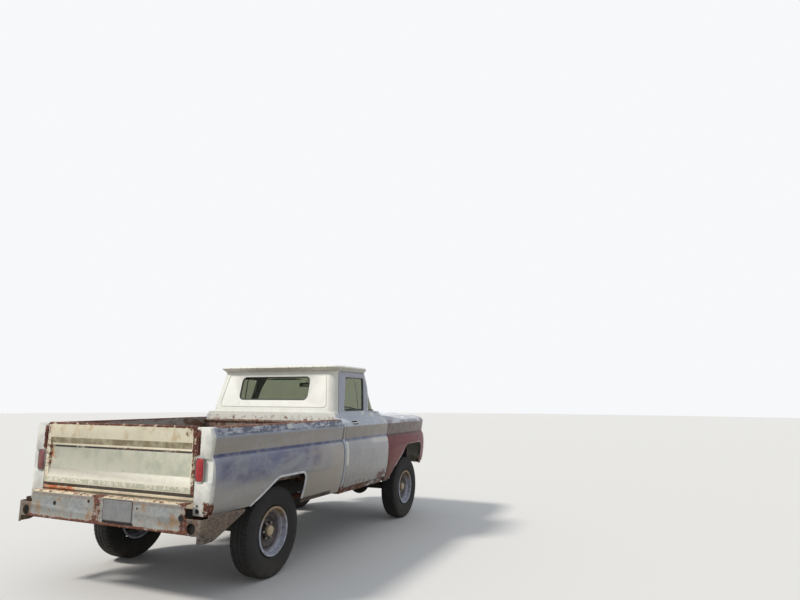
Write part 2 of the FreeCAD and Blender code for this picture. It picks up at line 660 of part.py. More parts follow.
def roof_loft(layers):
    """Solid through the roof's plan at several heights, each grown past the walls' line."""
    wires = []
    for height, grow in layers:
        visor = S.visor_length * max(0.0, min(1.0, grow / S.roof_overhang))
        plan = dict(TOP_PLAN, back=TOP_PLAN["back"] - visor)
        wires.append(rounded_wire(plan_rows(plan, S.gutter_half_width, -grow), on_z(height)))
    return Part.makeLoft(wires, True, True)


def cab_roof():
    """Low crowned roof, flaring out over the walls into a lip with a visor at the back."""
    low = S.gutter_height
    lip = S.roof_overhang
    skin = roof_loft(((low, 3), (low + 36, lip), (low + 46, lip), (low + 60, lip - 22),
                      (S.roof_height - 14, -130), (S.roof_height, -300)))
    hollow = roof_loft(((low - 1, -28), (low + 30, -18), (low + 46, -32),
                        (S.roof_height - 28, -150), (S.roof_height - 14, -310)))
    return skin.cut(hollow)


def cab_floor():
    """Floor with a tunnel, toe board, firewall and the sills below the doors."""
    half = S.cab_side - S.seat_gap
    low = S.cab_floor_height - 12
    y0 = CAB_BACK_Y + S.back_wall + S.seat_gap
    top = S.ridge_height - 10 - S.seat_gap
    toe = DOOR_FRONT_Y + 60
    rows = (
        (y0, low, 0), (toe, low, 10), (FIREWALL_Y - 12, low + 210, 10),
        (FIREWALL_Y - 12, top, 0), (FIREWALL_Y - 24, top, 0),
        (FIREWALL_Y - 24, low + 216, 10), (toe - 6, low + 12, 10), (y0, low + 12, 0),
    )
    floor = prism(rows, on_x(-half), Vector(2 * half, 0, 0))
    tunnel = ((-190, low - 5, 0), (-140, low + 120, 60), (140, low + 120, 60), (190, low - 5, 0))
    inside = ((-178, low - 6, 0), (-128, low + 108, 48), (128, low + 108, 48), (178, low - 6, 0))
    hump_reach = Vector(0, FIREWALL_Y - 24 - (DOOR_FRONT_Y - 420), 0)
    hump = prism(tunnel, on_y(DOOR_FRONT_Y - 420), hump_reach)
    hollow = prism(inside, on_y(DOOR_FRONT_Y - 408), hump_reach + Vector(0, 60, 0))
    floor = floor.fuse(hump).cut(hollow)
    floor = floor.cut(slab(-half - 5, half + 5, 0, 3000, 0, low - 0.001))
    rocker = (
        (half - 60, S.sill_bottom + 5, 6), (half - 60, low, 0), (half, low, 0),
        (half, S.sill_bottom + 5, 0),
    )
    for _, side in SIDES:
        rail = prism(rocker, on_y(y0), Vector(0, toe - y0, 0))
        floor = floor.fuse(mirrored(rail, side))
    return floor


def dashboard():
    """Dashboard with its instrument hood."""
    y1 = FIREWALL_Y - 40
    y0 = DOOR_FRONT_Y + 20
    rows = ((y0, 1130, 20), (y0 - 30, 1250, 30), (y0 + 20, S.belt_height - 44, 20),
            (y1, S.belt_height - 44, 0), (y1, 1290, 0), (y0 + 60, 1150, 30))
    body = prism(rows, on_x(-735), Vector(1470, 0, 0))
    return body.common(belt_block(DOGLEG_INNER + S.seat_gap, 0, S.roof_height))


def seat():
    """Bench seat: cushion on its riser, back against the rear wall."""
    half = S.seat_width / 2
    y0 = CAB_BACK_Y + S.back_wall + 46
    front = y0 + 120 + S.seat_depth
    low = S.cab_floor_height + S.seat_gap
    rows = (
        (y0 + 60, low, 0), (front - 60, low, 0), (front - 40, low + 150, 20),
        (front, low + 180, 20), (front - 10, S.seat_height, 60), (y0 + 150, S.seat_height - 30, 20),
        (y0 + 95, S.seat_back_height, 40), (y0, S.seat_back_height - 20, 30), (y0 + 30, low + 200, 20),
    )
    return prism(rows, on_x(-half), Vector(2 * half, 0, 0))


def steering():
    """Steering column with its wheel, fixed as one piece."""
    x = -350
    foot = Vector(x, FIREWALL_Y - 60, 900)
    top = Vector(x, DOOR_FRONT_Y - 175, 1205)
    along = (top - foot).normalize()
    column = rod(24, foot, top)
    ring = Part.makeTorus(S.steering_wheel_radius, S.steering_wheel_rim, top + along * 35, along)
    hub = rod(42, top - along * 5, top + along * 30)
    parts = [column, hub]
    across = Vector(1, 0, 0)
    for angle in (200, 340):
        spoke = FreeCAD.Rotation(along, angle).multVec(across)
        parts.append(rod(9, top + along * 18, top + along * 32 + spoke * S.steering_wheel_radius))
    return fused(parts + [ring])


# Front end

GRILLE_HALF = S.headlamp_x + S.headlamp_radius + 10
RADIATOR_Y = FENDER_FRONT_Y - 170

# Plan taper of the fender's nose: distance behind the front, inset of the skin
NOSE = ((560, 0), (400, 12), (260, 34), (150, 64), (70, 100), (0, 150))


def fender_outline(inset, thickness=0.0):
    """Section of a fender from its bottom edge over the ridge to the hood's edge."""
    rows = [(x - inset, z, radius) for x, z, radius in skin_rows(thickness)]
    edge = S.hood_half_rear + S.panel_gap - inset * 0.35
    ridge = rows[-1][0]
    top = S.rail_height - 8 - inset * 0.15 - thickness
    rows.append((ridge - 24, S.ridge_height + 34 - thickness * 0.6 - inset * 0.05, 18))
    rows.append((edge + (ridge - edge) * 0.45, top - 4, 30))
    rows.append((edge, top, 0))
    rows.append((edge, rows[0][1], 0))
    return rows


def fender(side):
    """Front fender: skin with an open wheel opening, and its inner apron beside the engine."""
    wall = S.sheet_metal
    rear = FENDER_REAR_Y

    def block(thickness, low_shift):
        wires = []
        places = [(rear + low_shift, 0)] + [(FENDER_FRONT_Y - back, inset) for back, inset in NOSE]
        for y, inset in places:
            y = min(y, FENDER_FRONT_Y - thickness)
            rows = fender_outline(inset, thickness)
            if thickness:
                last = len(rows) - 1
                rows[last] = (rows[last][0] - 5, rows[0][1] - 5, 0)
                rows[last - 1] = (rows[last - 1][0] - 5, rows[last - 1][1], 0)
                rows[0] = (rows[0][0], rows[0][1] - 5, 0)
            wires.append(rounded_wire(rows, on_y(y)))
        return Part.makeLoft(wires, True, True)

    skin = block(0.0, 0.0).cut(block(wall, -5.0))
    skin = skin.cut(prism(arch_row(FRONT_ARCH, FRONT_AXLE_Y), on_x(S.kingpin_x), Vector(500, 0, 0)))
    skin = skin.cut(slab(0, 1200, FRONT_AXLE_Y, FENDER_FRONT_Y + 50, 0, S.front_bumper_low + 60))
    skin = skin.cut(slab(0, 1200, rear - 50, FRONT_AXLE_Y, 0, S.sill_bottom))
    front = slab(0, GRILLE_HALF + S.seat_gap, FENDER_FRONT_Y - 60, FENDER_FRONT_Y + 50, 0,
                 S.grille_top + S.seat_gap)
    skin = skin.cut(front).cut(door_prism(S.panel_gap))
    edge = S.hood_half_rear + S.panel_gap
    y0 = FIREWALL_Y + S.seat_gap
    y1 = RADIATOR_Y - 16 - S.seat_gap
    top = S.rail_height - 44
    apron = slab(S.apron_x, S.apron_x + 8, y0, y1, 2 * S.tyre_radius + 30, top)
    flange = slab(S.apron_x, edge + 40, y0, y1, top - 8, top)
    riser = slab(edge, edge + 8, y0, y1, top - 8, S.rail_height - 14)
    return mirrored(fused([skin, apron, flange, riser]), side)


def crowned_section(y, half, crown, edge, drop):
    """Closed section of a crowned panel with turned-down edges."""
    rows = (
        (-half, edge - drop, 0), (-half, edge, 24), (-half * 0.72, crown - 14, 300),
        (0, crown, 1500), (half * 0.72, crown - 14, 300), (half, edge, 24),
        (half, edge - drop, 0),
    )
    return rounded_wire(rows, on_y(y))


def hood():
    """Crowned hood with a turned-down nose."""
    thick = S.hood_thickness
    edge = S.rail_height
    # Sections from the cowl to the nose: y, half width, crown, edge height, drop of the edge
    places = (
        (HOOD_REAR_Y, S.hood_half_rear, S.hood_height, edge, 26),
        (FENDER_FRONT_Y - 300, S.hood_half_rear - 20, S.hood_height - 8, edge - 6, 26),
        (FENDER_FRONT_Y - 60, S.hood_half_front, S.hood_height - 24, edge - 16, 40),
        (FENDER_FRONT_Y, S.hood_half_front - 24, S.hood_height - 62, edge - 44, 38),
    )
    outer = Part.makeLoft([crowned_section(y, half, crown, side_edge, drop)
                           for y, half, crown, side_edge, drop in places], True, True)
    inner = Part.makeLoft([crowned_section(y + (-1 if i == 0 else 0) - (thick if i == 3 else 0),
                                           half - thick, crown - thick, side_edge - thick, drop + 5)
                           for i, (y, half, crown, side_edge, drop) in enumerate(places)],
                          True, True)
    return outer.cut(inner)


def grille():
    """Grille panel with lamp openings, bars across and the valance below."""
    y1 = FENDER_FRONT_Y - 12
    y0 = y1 - 14
    half = GRILLE_HALF
    panel = slab(-half, half, y0, y1, S.front_bumper_high - 60, S.grille_top)
    opening_half = S.headlamp_x - S.headlamp_radius - 40
    opening = prism(((-opening_half, S.grille_bottom + 30, 30), (opening_half, S.grille_bottom + 30, 30),
                     (opening_half, S.grille_top - 30, 30), (-opening_half, S.grille_top - 30, 30)),
                    on_y(y0 - 5), Vector(0, 30, 0))
    panel = panel.cut(opening)
    for _, side in SIDES:
        centre = Vector(side * S.headlamp_x, y0 - 5, S.headlamp_height)
        panel = panel.cut(rod(S.headlamp_radius + S.seat_gap, centre, centre + Vector(0, 30, 0)))
    rise = S.grille_top - S.grille_bottom - 60
    step = rise / (S.grille_bar_count + 1)
    parts = [panel]
    for i in range(int(S.grille_bar_count)):
        z = S.grille_bottom + 30 + step * (i + 1)
        parts.append(slab(-opening_half - 2, opening_half + 2, y0, y0 + S.grille_bar_depth,
                          z - 6, z + 6))
    return fused(parts)


def headlamps():
    """Round lamp with a bulged lens on each side."""
    y = FENDER_FRONT_Y - 26
    lamps = []
    for _, side in SIDES:
        centre = Vector(side * S.headlamp_x, y - 46, S.headlamp_height)
        bowl = Part.makeCylinder(S.headlamp_radius, 60, centre, Vector(0, 1, 0))
        radius = 210
        dome = Part.makeSphere(radius, Vector(side * S.headlamp_x, y + 32 - radius, S.headlamp_height))
        lens = Part.makeCylinder(S.headlamp_radius, 60, centre + Vector(0, 50, 0), Vector(0, 1, 0))
        lamps.append(bowl.fuse(lens.common(dome)).removeSplitter())
    return Part.makeCompound(lamps)


def front_bumper():
    """Channel-section bumper with ends swept back, on two brackets."""
    front = HALF_LENGTH
    low = S.front_bumper_low
    high = S.front_bumper_high
    half = S.front_bumper_half
    end = FENDER_FRONT_Y
    plan = ((-half, end, 0), (-half, front - 60, 70), (-half + 150, front, 300),
            (half - 150, front, 300), (half, front - 60, 70), (half, end, 0),
            (half - 10, end, 0), (half - 10, front - 66, 60), (half - 152, front - 12, 290),
            (-half + 152, front - 12, 290), (-half + 10, front - 66, 60), (-half + 10, end, 0))
    bar = prism(plan, on_z(low), Vector(0, 0, high - low))
    frame = S.frame_half_width
    parts = [bar]
    for _, side in SIDES:
        x0 = side * (frame + 10)
        x1 = side * (frame - 30)
        parts.append(slab(min(x0, x1), max(x0, x1), FENDER_FRONT_Y + S.seat_gap, front - 10,
                          S.frame_top - 70, S.frame_top))
    return fused(parts)


def radiator():
    """Radiator core in its support, standing on the frame."""
    y = RADIATOR_Y
    half = S.hood_half_front - 60
    core = slab(-330, 330, y, y + 60, 740, 1180)
    support = slab(-half, half, y - 16, y, S.frame_top + S.seat_gap, S.ridge_height - 2)
    support = support.cut(slab(-290, 290, y - 20, y + 5, 770, 1150))
    shape = core.fuse(support)
    return shape


# Chassis

SHAFT_MEMBER_Y = DOOR_REAR_Y + 420


def frame_rails():
    """Two channel rails with cross members and the front and rear end members."""
    top = S.frame_top
    low = top - S.frame_depth
    wall = S.frame_wall_thickness
    y0 = BUMPER_Y + S.bumper_depth + 8
    y1 = FENDER_FRONT_Y
    outer_x = S.frame_half_width + 34
    parts = []
    for _, side in SIDES:
        rail = slab(outer_x - S.frame_flange, outer_x, y0, y1, low, top)
        hollow = slab(outer_x - S.frame_flange - 1, outer_x - wall, y0 - 1, y1 + 1, low + wall,
                      top - wall)
        parts.append(mirrored(rail.cut(hollow), side))
    inside = outer_x - wall
    for y in (y0 + 30, REAR_AXLE_Y - 420, REAR_AXLE_Y + 560, SHAFT_MEMBER_Y, y1 - 60):
        parts.append(slab(-inside, inside, y - 28, y + 28, low + wall + 2, top - wall - 2))
    y = DOOR_FRONT_Y - 200
    parts.append(slab(-inside, inside, y - 28, y + 28, low + wall + 2,
                      S.gearbox_bottom - S.seat_gap))
    for _, side in SIDES:
        bracket = slab(S.engine_half_width + S.seat_gap, inside, ENGINE_Y + 330, ENGINE_Y + 380,
                       top - 40, top - wall)
        parts.append(mirrored(bracket, side))
    notch = slab(-60, 60, SHAFT_MEMBER_Y - 30, SHAFT_MEMBER_Y + 30, low, low + 85)
    return fused(parts).cut(notch)


def spring_pack(x, axle_y, length, seat_z, eye_z):
    """Stack of leaves, each shorter than the one above, with an eye at both ends."""
    width = S.spring_width
    parts = []
    for i in range(int(S.leaf_count)):
        half = length / 2 * (1 - i / (S.leaf_count + 1.0))
        z = seat_z + (S.leaf_count - 1 - i) * S.spring_leaf
        parts.append(slab(x - width / 2, x + width / 2, axle_y - half, axle_y + half, z,
                          z + S.spring_leaf))
    top = seat_z + S.leaf_count * S.spring_leaf
    for end in (-1, 1):
        y = axle_y + end * length / 2
        parts.append(rod(20, Vector(x - width / 2, y, top + 6), Vector(x + width / 2, y, top + 6)))
        parts.append(slab(x - 8, x + 8, y - 14, y + 14, top + 6, eye_z))
    return fused(parts)


def springs(axle_y, length):
    """Leaf springs of one axle with their shackles, up to the frame."""
    seat_z = S.tyre_radius + S.axle_tube_radius + 6
    eye_z = S.frame_top - S.frame_depth - S.seat_gap
    return Part.makeCompound([spring_pack(side * S.frame_half_width, axle_y, length, seat_z, eye_z)
                              for _, side in SIDES])


def axle_housing(axle_y, reach, bowl_x):
    """Axle tube with its gear housing and spring seats."""
    z = S.tyre_radius
    tube = rod(S.axle_tube_radius, Vector(-reach, axle_y, z), Vector(reach, axle_y, z))
    bowl = Part.makeSphere(128, Vector(bowl_x, axle_y, z))
    parts = [tube, bowl]
    for _, side in SIDES:
        x = side * S.frame_half_width
        parts.append(slab(x - 40, x + 40, axle_y - 55, axle_y + 55, z + S.axle_tube_radius - 20,
                          z + S.axle_tube_radius + 6 - S.seat_gap))
    return parts


def rear_axle():
    """Rear axle with stubs that carry the wheels."""
    inner = S.wheel_track_half - 70
    parts = axle_housing(REAR_AXLE_Y, inner, 0)
    z = S.tyre_radius
    for _, side in SIDES:
        parts.append(rod(S.drum_radius - 3, Vector(side * (inner - 6), REAR_AXLE_Y, z),
                         Vector(side * inner, REAR_AXLE_Y, z)))
        parts.append(rod(S.stub_radius, Vector(side * inner, REAR_AXLE_Y, z),
                         Vector(side * (S.wheel_track_half + 20), REAR_AXLE_Y, z)))
    nose = rod(44, Vector(0, REAR_AXLE_Y + 90, z + 18), Vector(0, REAR_AXLE_Y + 215, z + 18))
    parts.append(nose)
    return fused(parts)


FRONT_BOWL_X = 200


def front_axle():
    """Front axle with a forked end round each kingpin."""
    reach = S.kingpin_x - S.knuckle_barrel_radius - 22
    parts = axle_housing(FRONT_AXLE_Y, reach, FRONT_BOWL_X)
    z = S.tyre_radius
    gap = S.knuckle_half_height
    for _, side in SIDES:
        plate = slab(reach - 12, reach + 4, FRONT_AXLE_Y - 24, FRONT_AXLE_Y + 24, z - gap - 22,
                     z + gap + 22)
        parts.append(mirrored(plate, side))
        for z0 in (z - gap - 22, z + gap):
            ear = slab(reach - 12, S.kingpin_x, FRONT_AXLE_Y - 34, FRONT_AXLE_Y + 34, z0, z0 + 22)
            round_end = Part.makeCylinder(34, 22, Vector(S.kingpin_x, FRONT_AXLE_Y, z0))
            hole = Part.makeCylinder(S.kingpin_radius + S.seat_gap, 40,
                                     Vector(S.kingpin_x, FRONT_AXLE_Y, z0 - 9))
            parts.append(mirrored(ear.fuse(round_end).cut(hole), side))
    nose = rod(44, Vector(FRONT_BOWL_X, FRONT_AXLE_Y - 215, z + 14),
               Vector(FRONT_BOWL_X, FRONT_AXLE_Y - 90, z + 14))
    parts.append(nose)
    return fused(parts)


def knuckle(side):
    """Steering knuckle: barrel on the kingpin, backing plate, stub and steering arm."""
    z = S.tyre_radius
    x = S.kingpin_x
    half = S.knuckle_half_height - S.seat_gap
    plate_x = S.wheel_track_half - 76
    barrel = Part.makeCylinder(S.knuckle_barrel_radius, 2 * half, Vector(x, FRONT_AXLE_Y, z - half))
    pin = Part.makeCylinder(S.kingpin_radius, 2 * half + 40, Vector(x, FRONT_AXLE_Y, z - half - 20))
    plate = rod(S.drum_radius - 3, Vector(plate_x, FRONT_AXLE_Y, z),
                Vector(plate_x + 6, FRONT_AXLE_Y, z))
    neck = rod(40, Vector(x, FRONT_AXLE_Y, z), Vector(plate_x + 3, FRONT_AXLE_Y, z))
    stub = rod(S.stub_radius, Vector(plate_x, FRONT_AXLE_Y, z),
               Vector(S.wheel_track_half + 20, FRONT_AXLE_Y, z))
    arm_end = Vector(x, FRONT_AXLE_Y + S.steer_arm_length, z - 40)
    arm = rod(13, Vector(x, FRONT_AXLE_Y + 12, z - 40), arm_end)
    eye = Part.makeCylinder(S.stud_eye_radius, 30, arm_end - Vector(0, 0, 15))
    ball = Part.makeCylinder(8, 46, arm_end - Vector(0, 0, 46))
    return mirrored(fused([barrel, pin, plate, neck, stub, arm, eye, ball]), side)


def tie_rod():
    """Bar between the two steering arms, with an eye round each ball stud."""
    z = S.tyre_radius - 40 - 15 - S.stud_gap - 22
    x = S.kingpin_x
    y = FRONT_AXLE_Y + S.steer_arm_length
    bar = rod(S.tie_rod_radius, Vector(-x, y, z + 11), Vector(x, y, z + 11))
    parts = [bar]
    for _, side in SIDES:
        parts.append(Part.makeCylinder(S.stud_eye_radius, 22, Vector(side * x, y, z)))
    shape = fused(parts)
    for _, side in SIDES:
        shape = shape.cut(Part.makeCylinder(8 + S.stud_gap, 60, Vector(side * x, y, z - 10)))
    return shape


def gearbox():
    """Gearbox and transfer case in one line behind the engine."""
    y = DOOR_FRONT_Y
    low = S.gearbox_bottom
    box = slab(-105, 105, y - 330, y + 258, low, S.gearbox_top)
    bell = rod(160, Vector(0, y + 255, low + 80), Vector(0, ENGINE_Y - S.seat_gap, low + 80))
    case = slab(-90, 250, y - 480, y - 320, low - 130, low + 80)
    return fused([box, bell, case])


def driveshaft(start, end):
    """Tube between two flanges that stand square to the truck's length."""
    ahead = Vector(0, 1 if end.y > start.y else -1, 0)
    first = start + ahead * S.seat_gap
    last = end - ahead * S.seat_gap
    along = (last - first).normalize()
    return fused([
        rod(46, first, first + ahead * 14), rod(46, last, last - ahead * 14),
        rod(42, first + along * 8, first + along * 64), rod(42, last - along * 64, last - along * 8),
        rod(32, first + along * 8, last - along * 8),
    ])


def driveshafts():
    """Rear and front drive shafts with a joint at each end."""
    z = S.tyre_radius
    low = S.gearbox_bottom
    rear = driveshaft(Vector(0, DOOR_FRONT_Y - 480, low), Vector(0, REAR_AXLE_Y + 215, z + 18))
    front = driveshaft(Vector(FRONT_BOWL_X, DOOR_FRONT_Y - 320, low - 65),
                       Vector(FRONT_BOWL_X, FRONT_AXLE_Y - 215, z + 14))
    return Part.makeCompound([rear, front])


def exhaust():
    """Exhaust from the engine's side over the rear axle, its muffler on a hanger."""
    x = 300
    z = S.exhaust_height
    over = z + 50
    port_y = ENGINE_Y + 120
    # Corners of the pipe from the engine to the tail
    route = (
        Vector(S.engine_half_width + S.seat_gap, port_y, 700),
        Vector(S.engine_half_width + 50, port_y, 700),
        Vector(x, DOOR_FRONT_Y + 100, z),
        Vector(x, REAR_AXLE_Y + 240, z),
        Vector(x, REAR_AXLE_Y + 65, over),
        Vector(x, REAR_AXLE_Y - 155, over),
        Vector(x + 60, REAR_AXLE_Y - 560, z + 40),
    )
    parts = [rod(24, start, end) for start, end in zip(route, route[1:])]
    parts += [Part.makeSphere(26, point) for point in route[1:-1]]
    parts.append(rod(75, Vector(x, REAR_AXLE_Y + 420, z), Vector(x, REAR_AXLE_Y + 900, z)))
    member = S.frame_top - S.frame_depth + S.frame_wall_thickness + 2
    parts.append(slab(x - 10, x + 10, REAR_AXLE_Y + 554, REAR_AXLE_Y + 566, z + 60,
                      member - S.seat_gap))
    return fused(parts)


def rear_bumper():
    """Folded plate with round holes at its ends and rough wings round the corners."""
    y = BUMPER_Y
    half = S.bumper_half
    low = S.bumper_low
    high = S.bumper_high
    plate = S.bumper_plate
    depth = y + S.bumper_depth
    face = ((y + 9, low, 6), (y, low + 9, 6), (y, high - 10, 8), (y + 12, high, 8),
            (depth, high, 0), (depth, high - plate, 0), (y + 16, high - plate, 4),
            (y + plate, high - 16, 4), (y + plate, low + 11, 2), (y + 11, low + plate, 2),
            (depth, low + plate, 0), (depth, low, 0))
    bar = prism(face, on_x(-half), Vector(2 * half, 0, 0))
    parts = [bar]
    for _, side in SIDES:
        corner_rows = ((half - 6, y, 0), (S.wing_reach, y, 40), (S.wing_reach, y + 120, 0),
                       (S.wing_reach - plate, y + 120, 0), (S.wing_reach - plate, y + plate, 34),
                       (half - 6, y + plate, 0))
        corner = prism(corner_rows, on_z(low - 50), Vector(0, 0, 190))
        wing_rows = ((y + 110, low - 50, 0), (y + 150, low - 40, 60), (y + S.wing_length, 650, 8),
                     (y + S.wing_length, 672, 8), (y + 110, 688, 0))
        wing = prism(wing_rows, on_x(S.wing_reach - plate), Vector(plate, 0, 0))
        parts.append(mirrored(corner, side))
        parts.append(mirrored(wing, side))
        bracket = slab(S.frame_half_width - 20, S.frame_half_width + 20, y + plate,
                       depth + 8 - S.seat_gap, S.frame_top - 90, S.frame_top - 10)
        parts.append(mirrored(bracket, side))
    shape = fused(parts)
    step = S.tailgate_half_width + 10
    for _, side in SIDES:
        above = slab(step, S.wing_reach + 5, y - 5, depth + 5, S.post_bottom - 6, high + 5)
        shape = shape.cut(mirrored(above, side))
    for _, side in SIDES:
        centre = Vector(side * S.bumper_hole_x, y - 20, S.bumper_hole_height)
        shape = shape.cut(rod(S.bumper_hole_radius, centre, centre + Vector(0, 60, 0)))
    return shape


def engine():
    """Engine as one plain block with its sump and air cleaner."""
    y0 = ENGINE_Y
    half = S.engine_half_width
    block = slab(-half, half, y0, y0 + 640, S.engine_bottom, S.engine_top)
    sump = slab(-130, 130, y0 + 60, y0 + 330, S.engine_bottom - 100, S.engine_bottom)
    cleaner = Part.makeCylinder(165, 90, Vector(0, y0 + 300, S.engine_top))
    return fused([block, sump, cleaner])


# Wheels, as bodies turned from one sketched profile

def plane_of(body, role):
    """One of the body's own origin planes or axes."""
    return [item for item in body.Origin.OriginFeatures if item.Role == role][0]


def turned_body(label, rows):
    """Body revolved round its X axis from rows of expressions (x, radius)."""
    body = doc.addObject("PartDesign::Body", label)
    sketch = body.newObject("Sketcher::SketchObject", label + "_profile")
    sketch.AttachmentSupport = [(plane_of(body, "XY_Plane"), "")]
    sketch.MapMode = "FlatFace"
    points = [Vector(200 + 10 * i, 200 + 5 * i * i, 0) for i in range(len(rows))]
    for i, (x_text, r_text) in enumerate(rows):
        points[i] = Vector(sheet_value(x_text), sheet_value(r_text), 0)
    count = len(points)
    for i in range(count):
        sketch.addGeometry(Part.LineSegment(points[i], points[(i + 1) % count]), False)
    for i in range(count):
        sketch.addConstraint(Sketcher.Constraint("Coincident", i, 2, (i + 1) % count, 1))
    for i, (x_text, r_text) in enumerate(rows):
        for kind, text, value in (("DistanceX", x_text, points[i].x),
                                  ("DistanceY", r_text, points[i].y)):
            index = sketch.addConstraint(Sketcher.Constraint(kind, -1, 1, i, 1, value))
            sketch.setExpression(f"Constraints[{index}]", text)
    turn = body.newObject("PartDesign::Revolution", label + "_turn")
    turn.Profile = sketch
    turn.ReferenceAxis = (sketch, ["H_Axis"])
    turn.Angle = 360
    body.Tip = turn
    doc.recompute()
    return body


def sheet_value(text):
    """Value of an expression on the sheet's cells."""
    probe = doc.getObject("Probe") or doc.addObject("App::FeaturePython", "Probe")
    if not hasattr(probe, "Reading"):
        probe.addProperty("App::PropertyFloat", "Reading")
    probe.setExpression("Reading", text)
    doc.recompute([probe])
    return probe.Reading


# Tyre profile, from the inner bead round to the outer one: x, radius
TYRE_ROWS = (
    ("Sizes.tyre_width * 0.14", "Sizes.rim_radius + 4"),
    ("Sizes.tyre_width * 0.07", "Sizes.rim_flange_radius + 4"),
    ("Sizes.tyre_width * 0.01", "Sizes.tyre_radius - 120"),
    ("0.5", "Sizes.tyre_radius - 85"),
    ("Sizes.tyre_width * 0.03", "Sizes.tyre_radius - 40"),
    ("Sizes.tyre_width * 0.10", "Sizes.tyre_radius - 9"),
    ("Sizes.tyre_width * 0.24", "Sizes.tyre_radius"),
    ("Sizes.tyre_width * 0.76", "Sizes.tyre_radius"),
    ("Sizes.tyre_width * 0.90", "Sizes.tyre_radius - 9"),
    ("Sizes.tyre_width * 0.97", "Sizes.tyre_radius - 40"),
    ("Sizes.tyre_width - 0.5", "Sizes.tyre_radius - 85"),
    ("Sizes.tyre_width * 0.99", "Sizes.tyre_radius - 120"),
    ("Sizes.tyre_width * 0.93", "Sizes.rim_flange_radius + 4"),
    ("Sizes.tyre_width * 0.86", "Sizes.rim_radius + 4"),
)


def wheel(spot, side, axle_y):
    """Tyre and steel wheel with drum, hub, lug nuts and cap, on their axle."""
    tyre = turned_body("tyre_" + spot, TYRE_ROWS)
    turn = FreeCAD.Rotation(Vector(0, 0, 1), 0 if side > 0 else 180)
    start = Vector(side * (S.wheel_track_half - S.tyre_width / 2), axle_y, S.tyre_radius)
    tyre.Placement = FreeCAD.Placement(start, turn)
    add_feature("rim_" + spot, mirrored(rim(), side), Vector(0, axle_y, S.tyre_radius))


def rim():
    """Steel wheel turned round the axle, built at the axle's height zero."""
    x_mid = S.wheel_track_half
    half = S.tyre_width / 2 - 7
    wall = S.rim_wall
    r = S.rim_radius
    inner = x_mid - half
    outer = x_mid + half
    barrel_rows = (
        (inner, r, 2), (inner, S.rim_flange_radius, 2), (inner + 6, S.rim_flange_radius, 2),
        (inner + 12, r + 2.5, 4), (x_mid - 40, r + 2.5, 6), (x_mid - 20, r - 22, 6),
        (x_mid + 24, r - 22, 6), (x_mid + 44, r + 2.5, 6), (outer - 12, r + 2.5, 4),
        (outer - 6, S.rim_flange_radius, 2), (outer, S.rim_flange_radius, 2),
        (outer, r - 2, 2), (x_mid + 44, r - 4, 4), (x_mid + 24, r - 22 - wall, 4),
        (x_mid - 20, r - 22 - wall, 4), (x_mid - 40, r - 4, 4),
    )
    disc_x = x_mid + S.disc_offset
    disc_rows = (
        (disc_x - wall, S.hub_radius - 4, 0), (disc_x, S.hub_radius - 4, 0), (disc_x, 96, 6),
        (disc_x + 20, 122, 12), (disc_x + 6, r - 22 - wall + 1, 0),
        (disc_x, r - 22 - wall + 1, 0), (disc_x + 12, 122, 10), (disc_x - wall, 98, 6),
    )
    axis = Vector(1, 0, 0)
    parts = []
    for rows in (barrel_rows, disc_rows):
        face = Part.Face(rounded_wire(rows, on_z(0)))
        parts.append(face.revolve(Vector(0, 0, 0), axis, 360))
    hub = rod(S.hub_radius, Vector(x_mid - 40, 0, 0), Vector(disc_x + 26, 0, 0))
    bore = rod(S.stub_radius + S.seat_gap, Vector(x_mid - 50, 0, 0), Vector(x_mid + 21, 0, 0))
    cap = rod(44, Vector(disc_x + 20, 0, 0), Vector(disc_x + 44, 0, 0))
    drum = rod(S.drum_radius, Vector(x_mid - 66, 0, 0), Vector(disc_x - wall + 1, 0, 0))
    drum = drum.cut(rod(S.drum_radius - 10, Vector(x_mid - 70, 0, 0), Vector(disc_x - wall - 8, 0, 0)))
    shape = fused(parts + [hub, cap, drum])
    shape = shape.cut(bore)
    for i in range(int(S.lug_count)):
        angle = 2 * math.pi * i / S.lug_count
        place = Vector(0, math.cos(angle), math.sin(angle)) * S.bolt_circle_radius
        shape = shape.fuse(rod(S.lug_radius, place + Vector(disc_x - 2, 0, 0),
                               place + Vector(disc_x + 20, 0, 0)))
    return shape


# Assembly

pieces = []


def add_feature(label, shape, place=None):
    """Put one finished shape in the document under its own name."""
    feature = doc.addObject("Part::Feature", label)
    feature.Label = label
    feature.Shape = shape
    feature.Placement = FreeCAD.Placement(place or Vector(0, 0, 0), FreeCAD.Rotation())
    return feature


for spot, side, axle_y in (
    ("rear_left", -1, REAR_AXLE_Y), ("rear_right", 1, REAR_AXLE_Y),
    ("front_left", -1, FRONT_AXLE_Y), ("front_right", 1, FRONT_AXLE_Y),
):
    wheel(spot, side, axle_y)

SINGLE = (
    ("frame_rails", frame_rails), ("rear_axle", rear_axle), ("front_axle", front_axle),
    ("gearbox", gearbox), ("driveshafts", driveshafts), ("exhaust", exhaust),
    ("engine_block", engine), ("radiator", radiator), ("tie_rod", tie_rod),
    ("cab_floor", cab_floor), ("cab_back", cab_back), ("cab_cowl", cab_cowl),
    ("cab_roof", cab_roof), ("windshield", windshield), ("rear_glass", rear_glass),
    ("dashboard", dashboard), ("seat", seat), ("steering_column", steering),
    ("hood", hood), ("grille", grille), ("headlamps", headlamps),
    ("front_bumper", front_bumper), ("bed_floor", bed_floor), ("bed_front", bed_front),
    ("wheelhouses", wheelhouses), ("tailgate", tailgate), ("tail_lamps", tail_lamps),
    ("rear_bumper", rear_bumper),
)
for label, make in SINGLE:
    add_feature(label, make())
add_feature("rear_springs", springs(REAR_AXLE_Y, S.rear_spring_length))
add_feature("front_springs", springs(FRONT_AXLE_Y, S.front_spring_length))

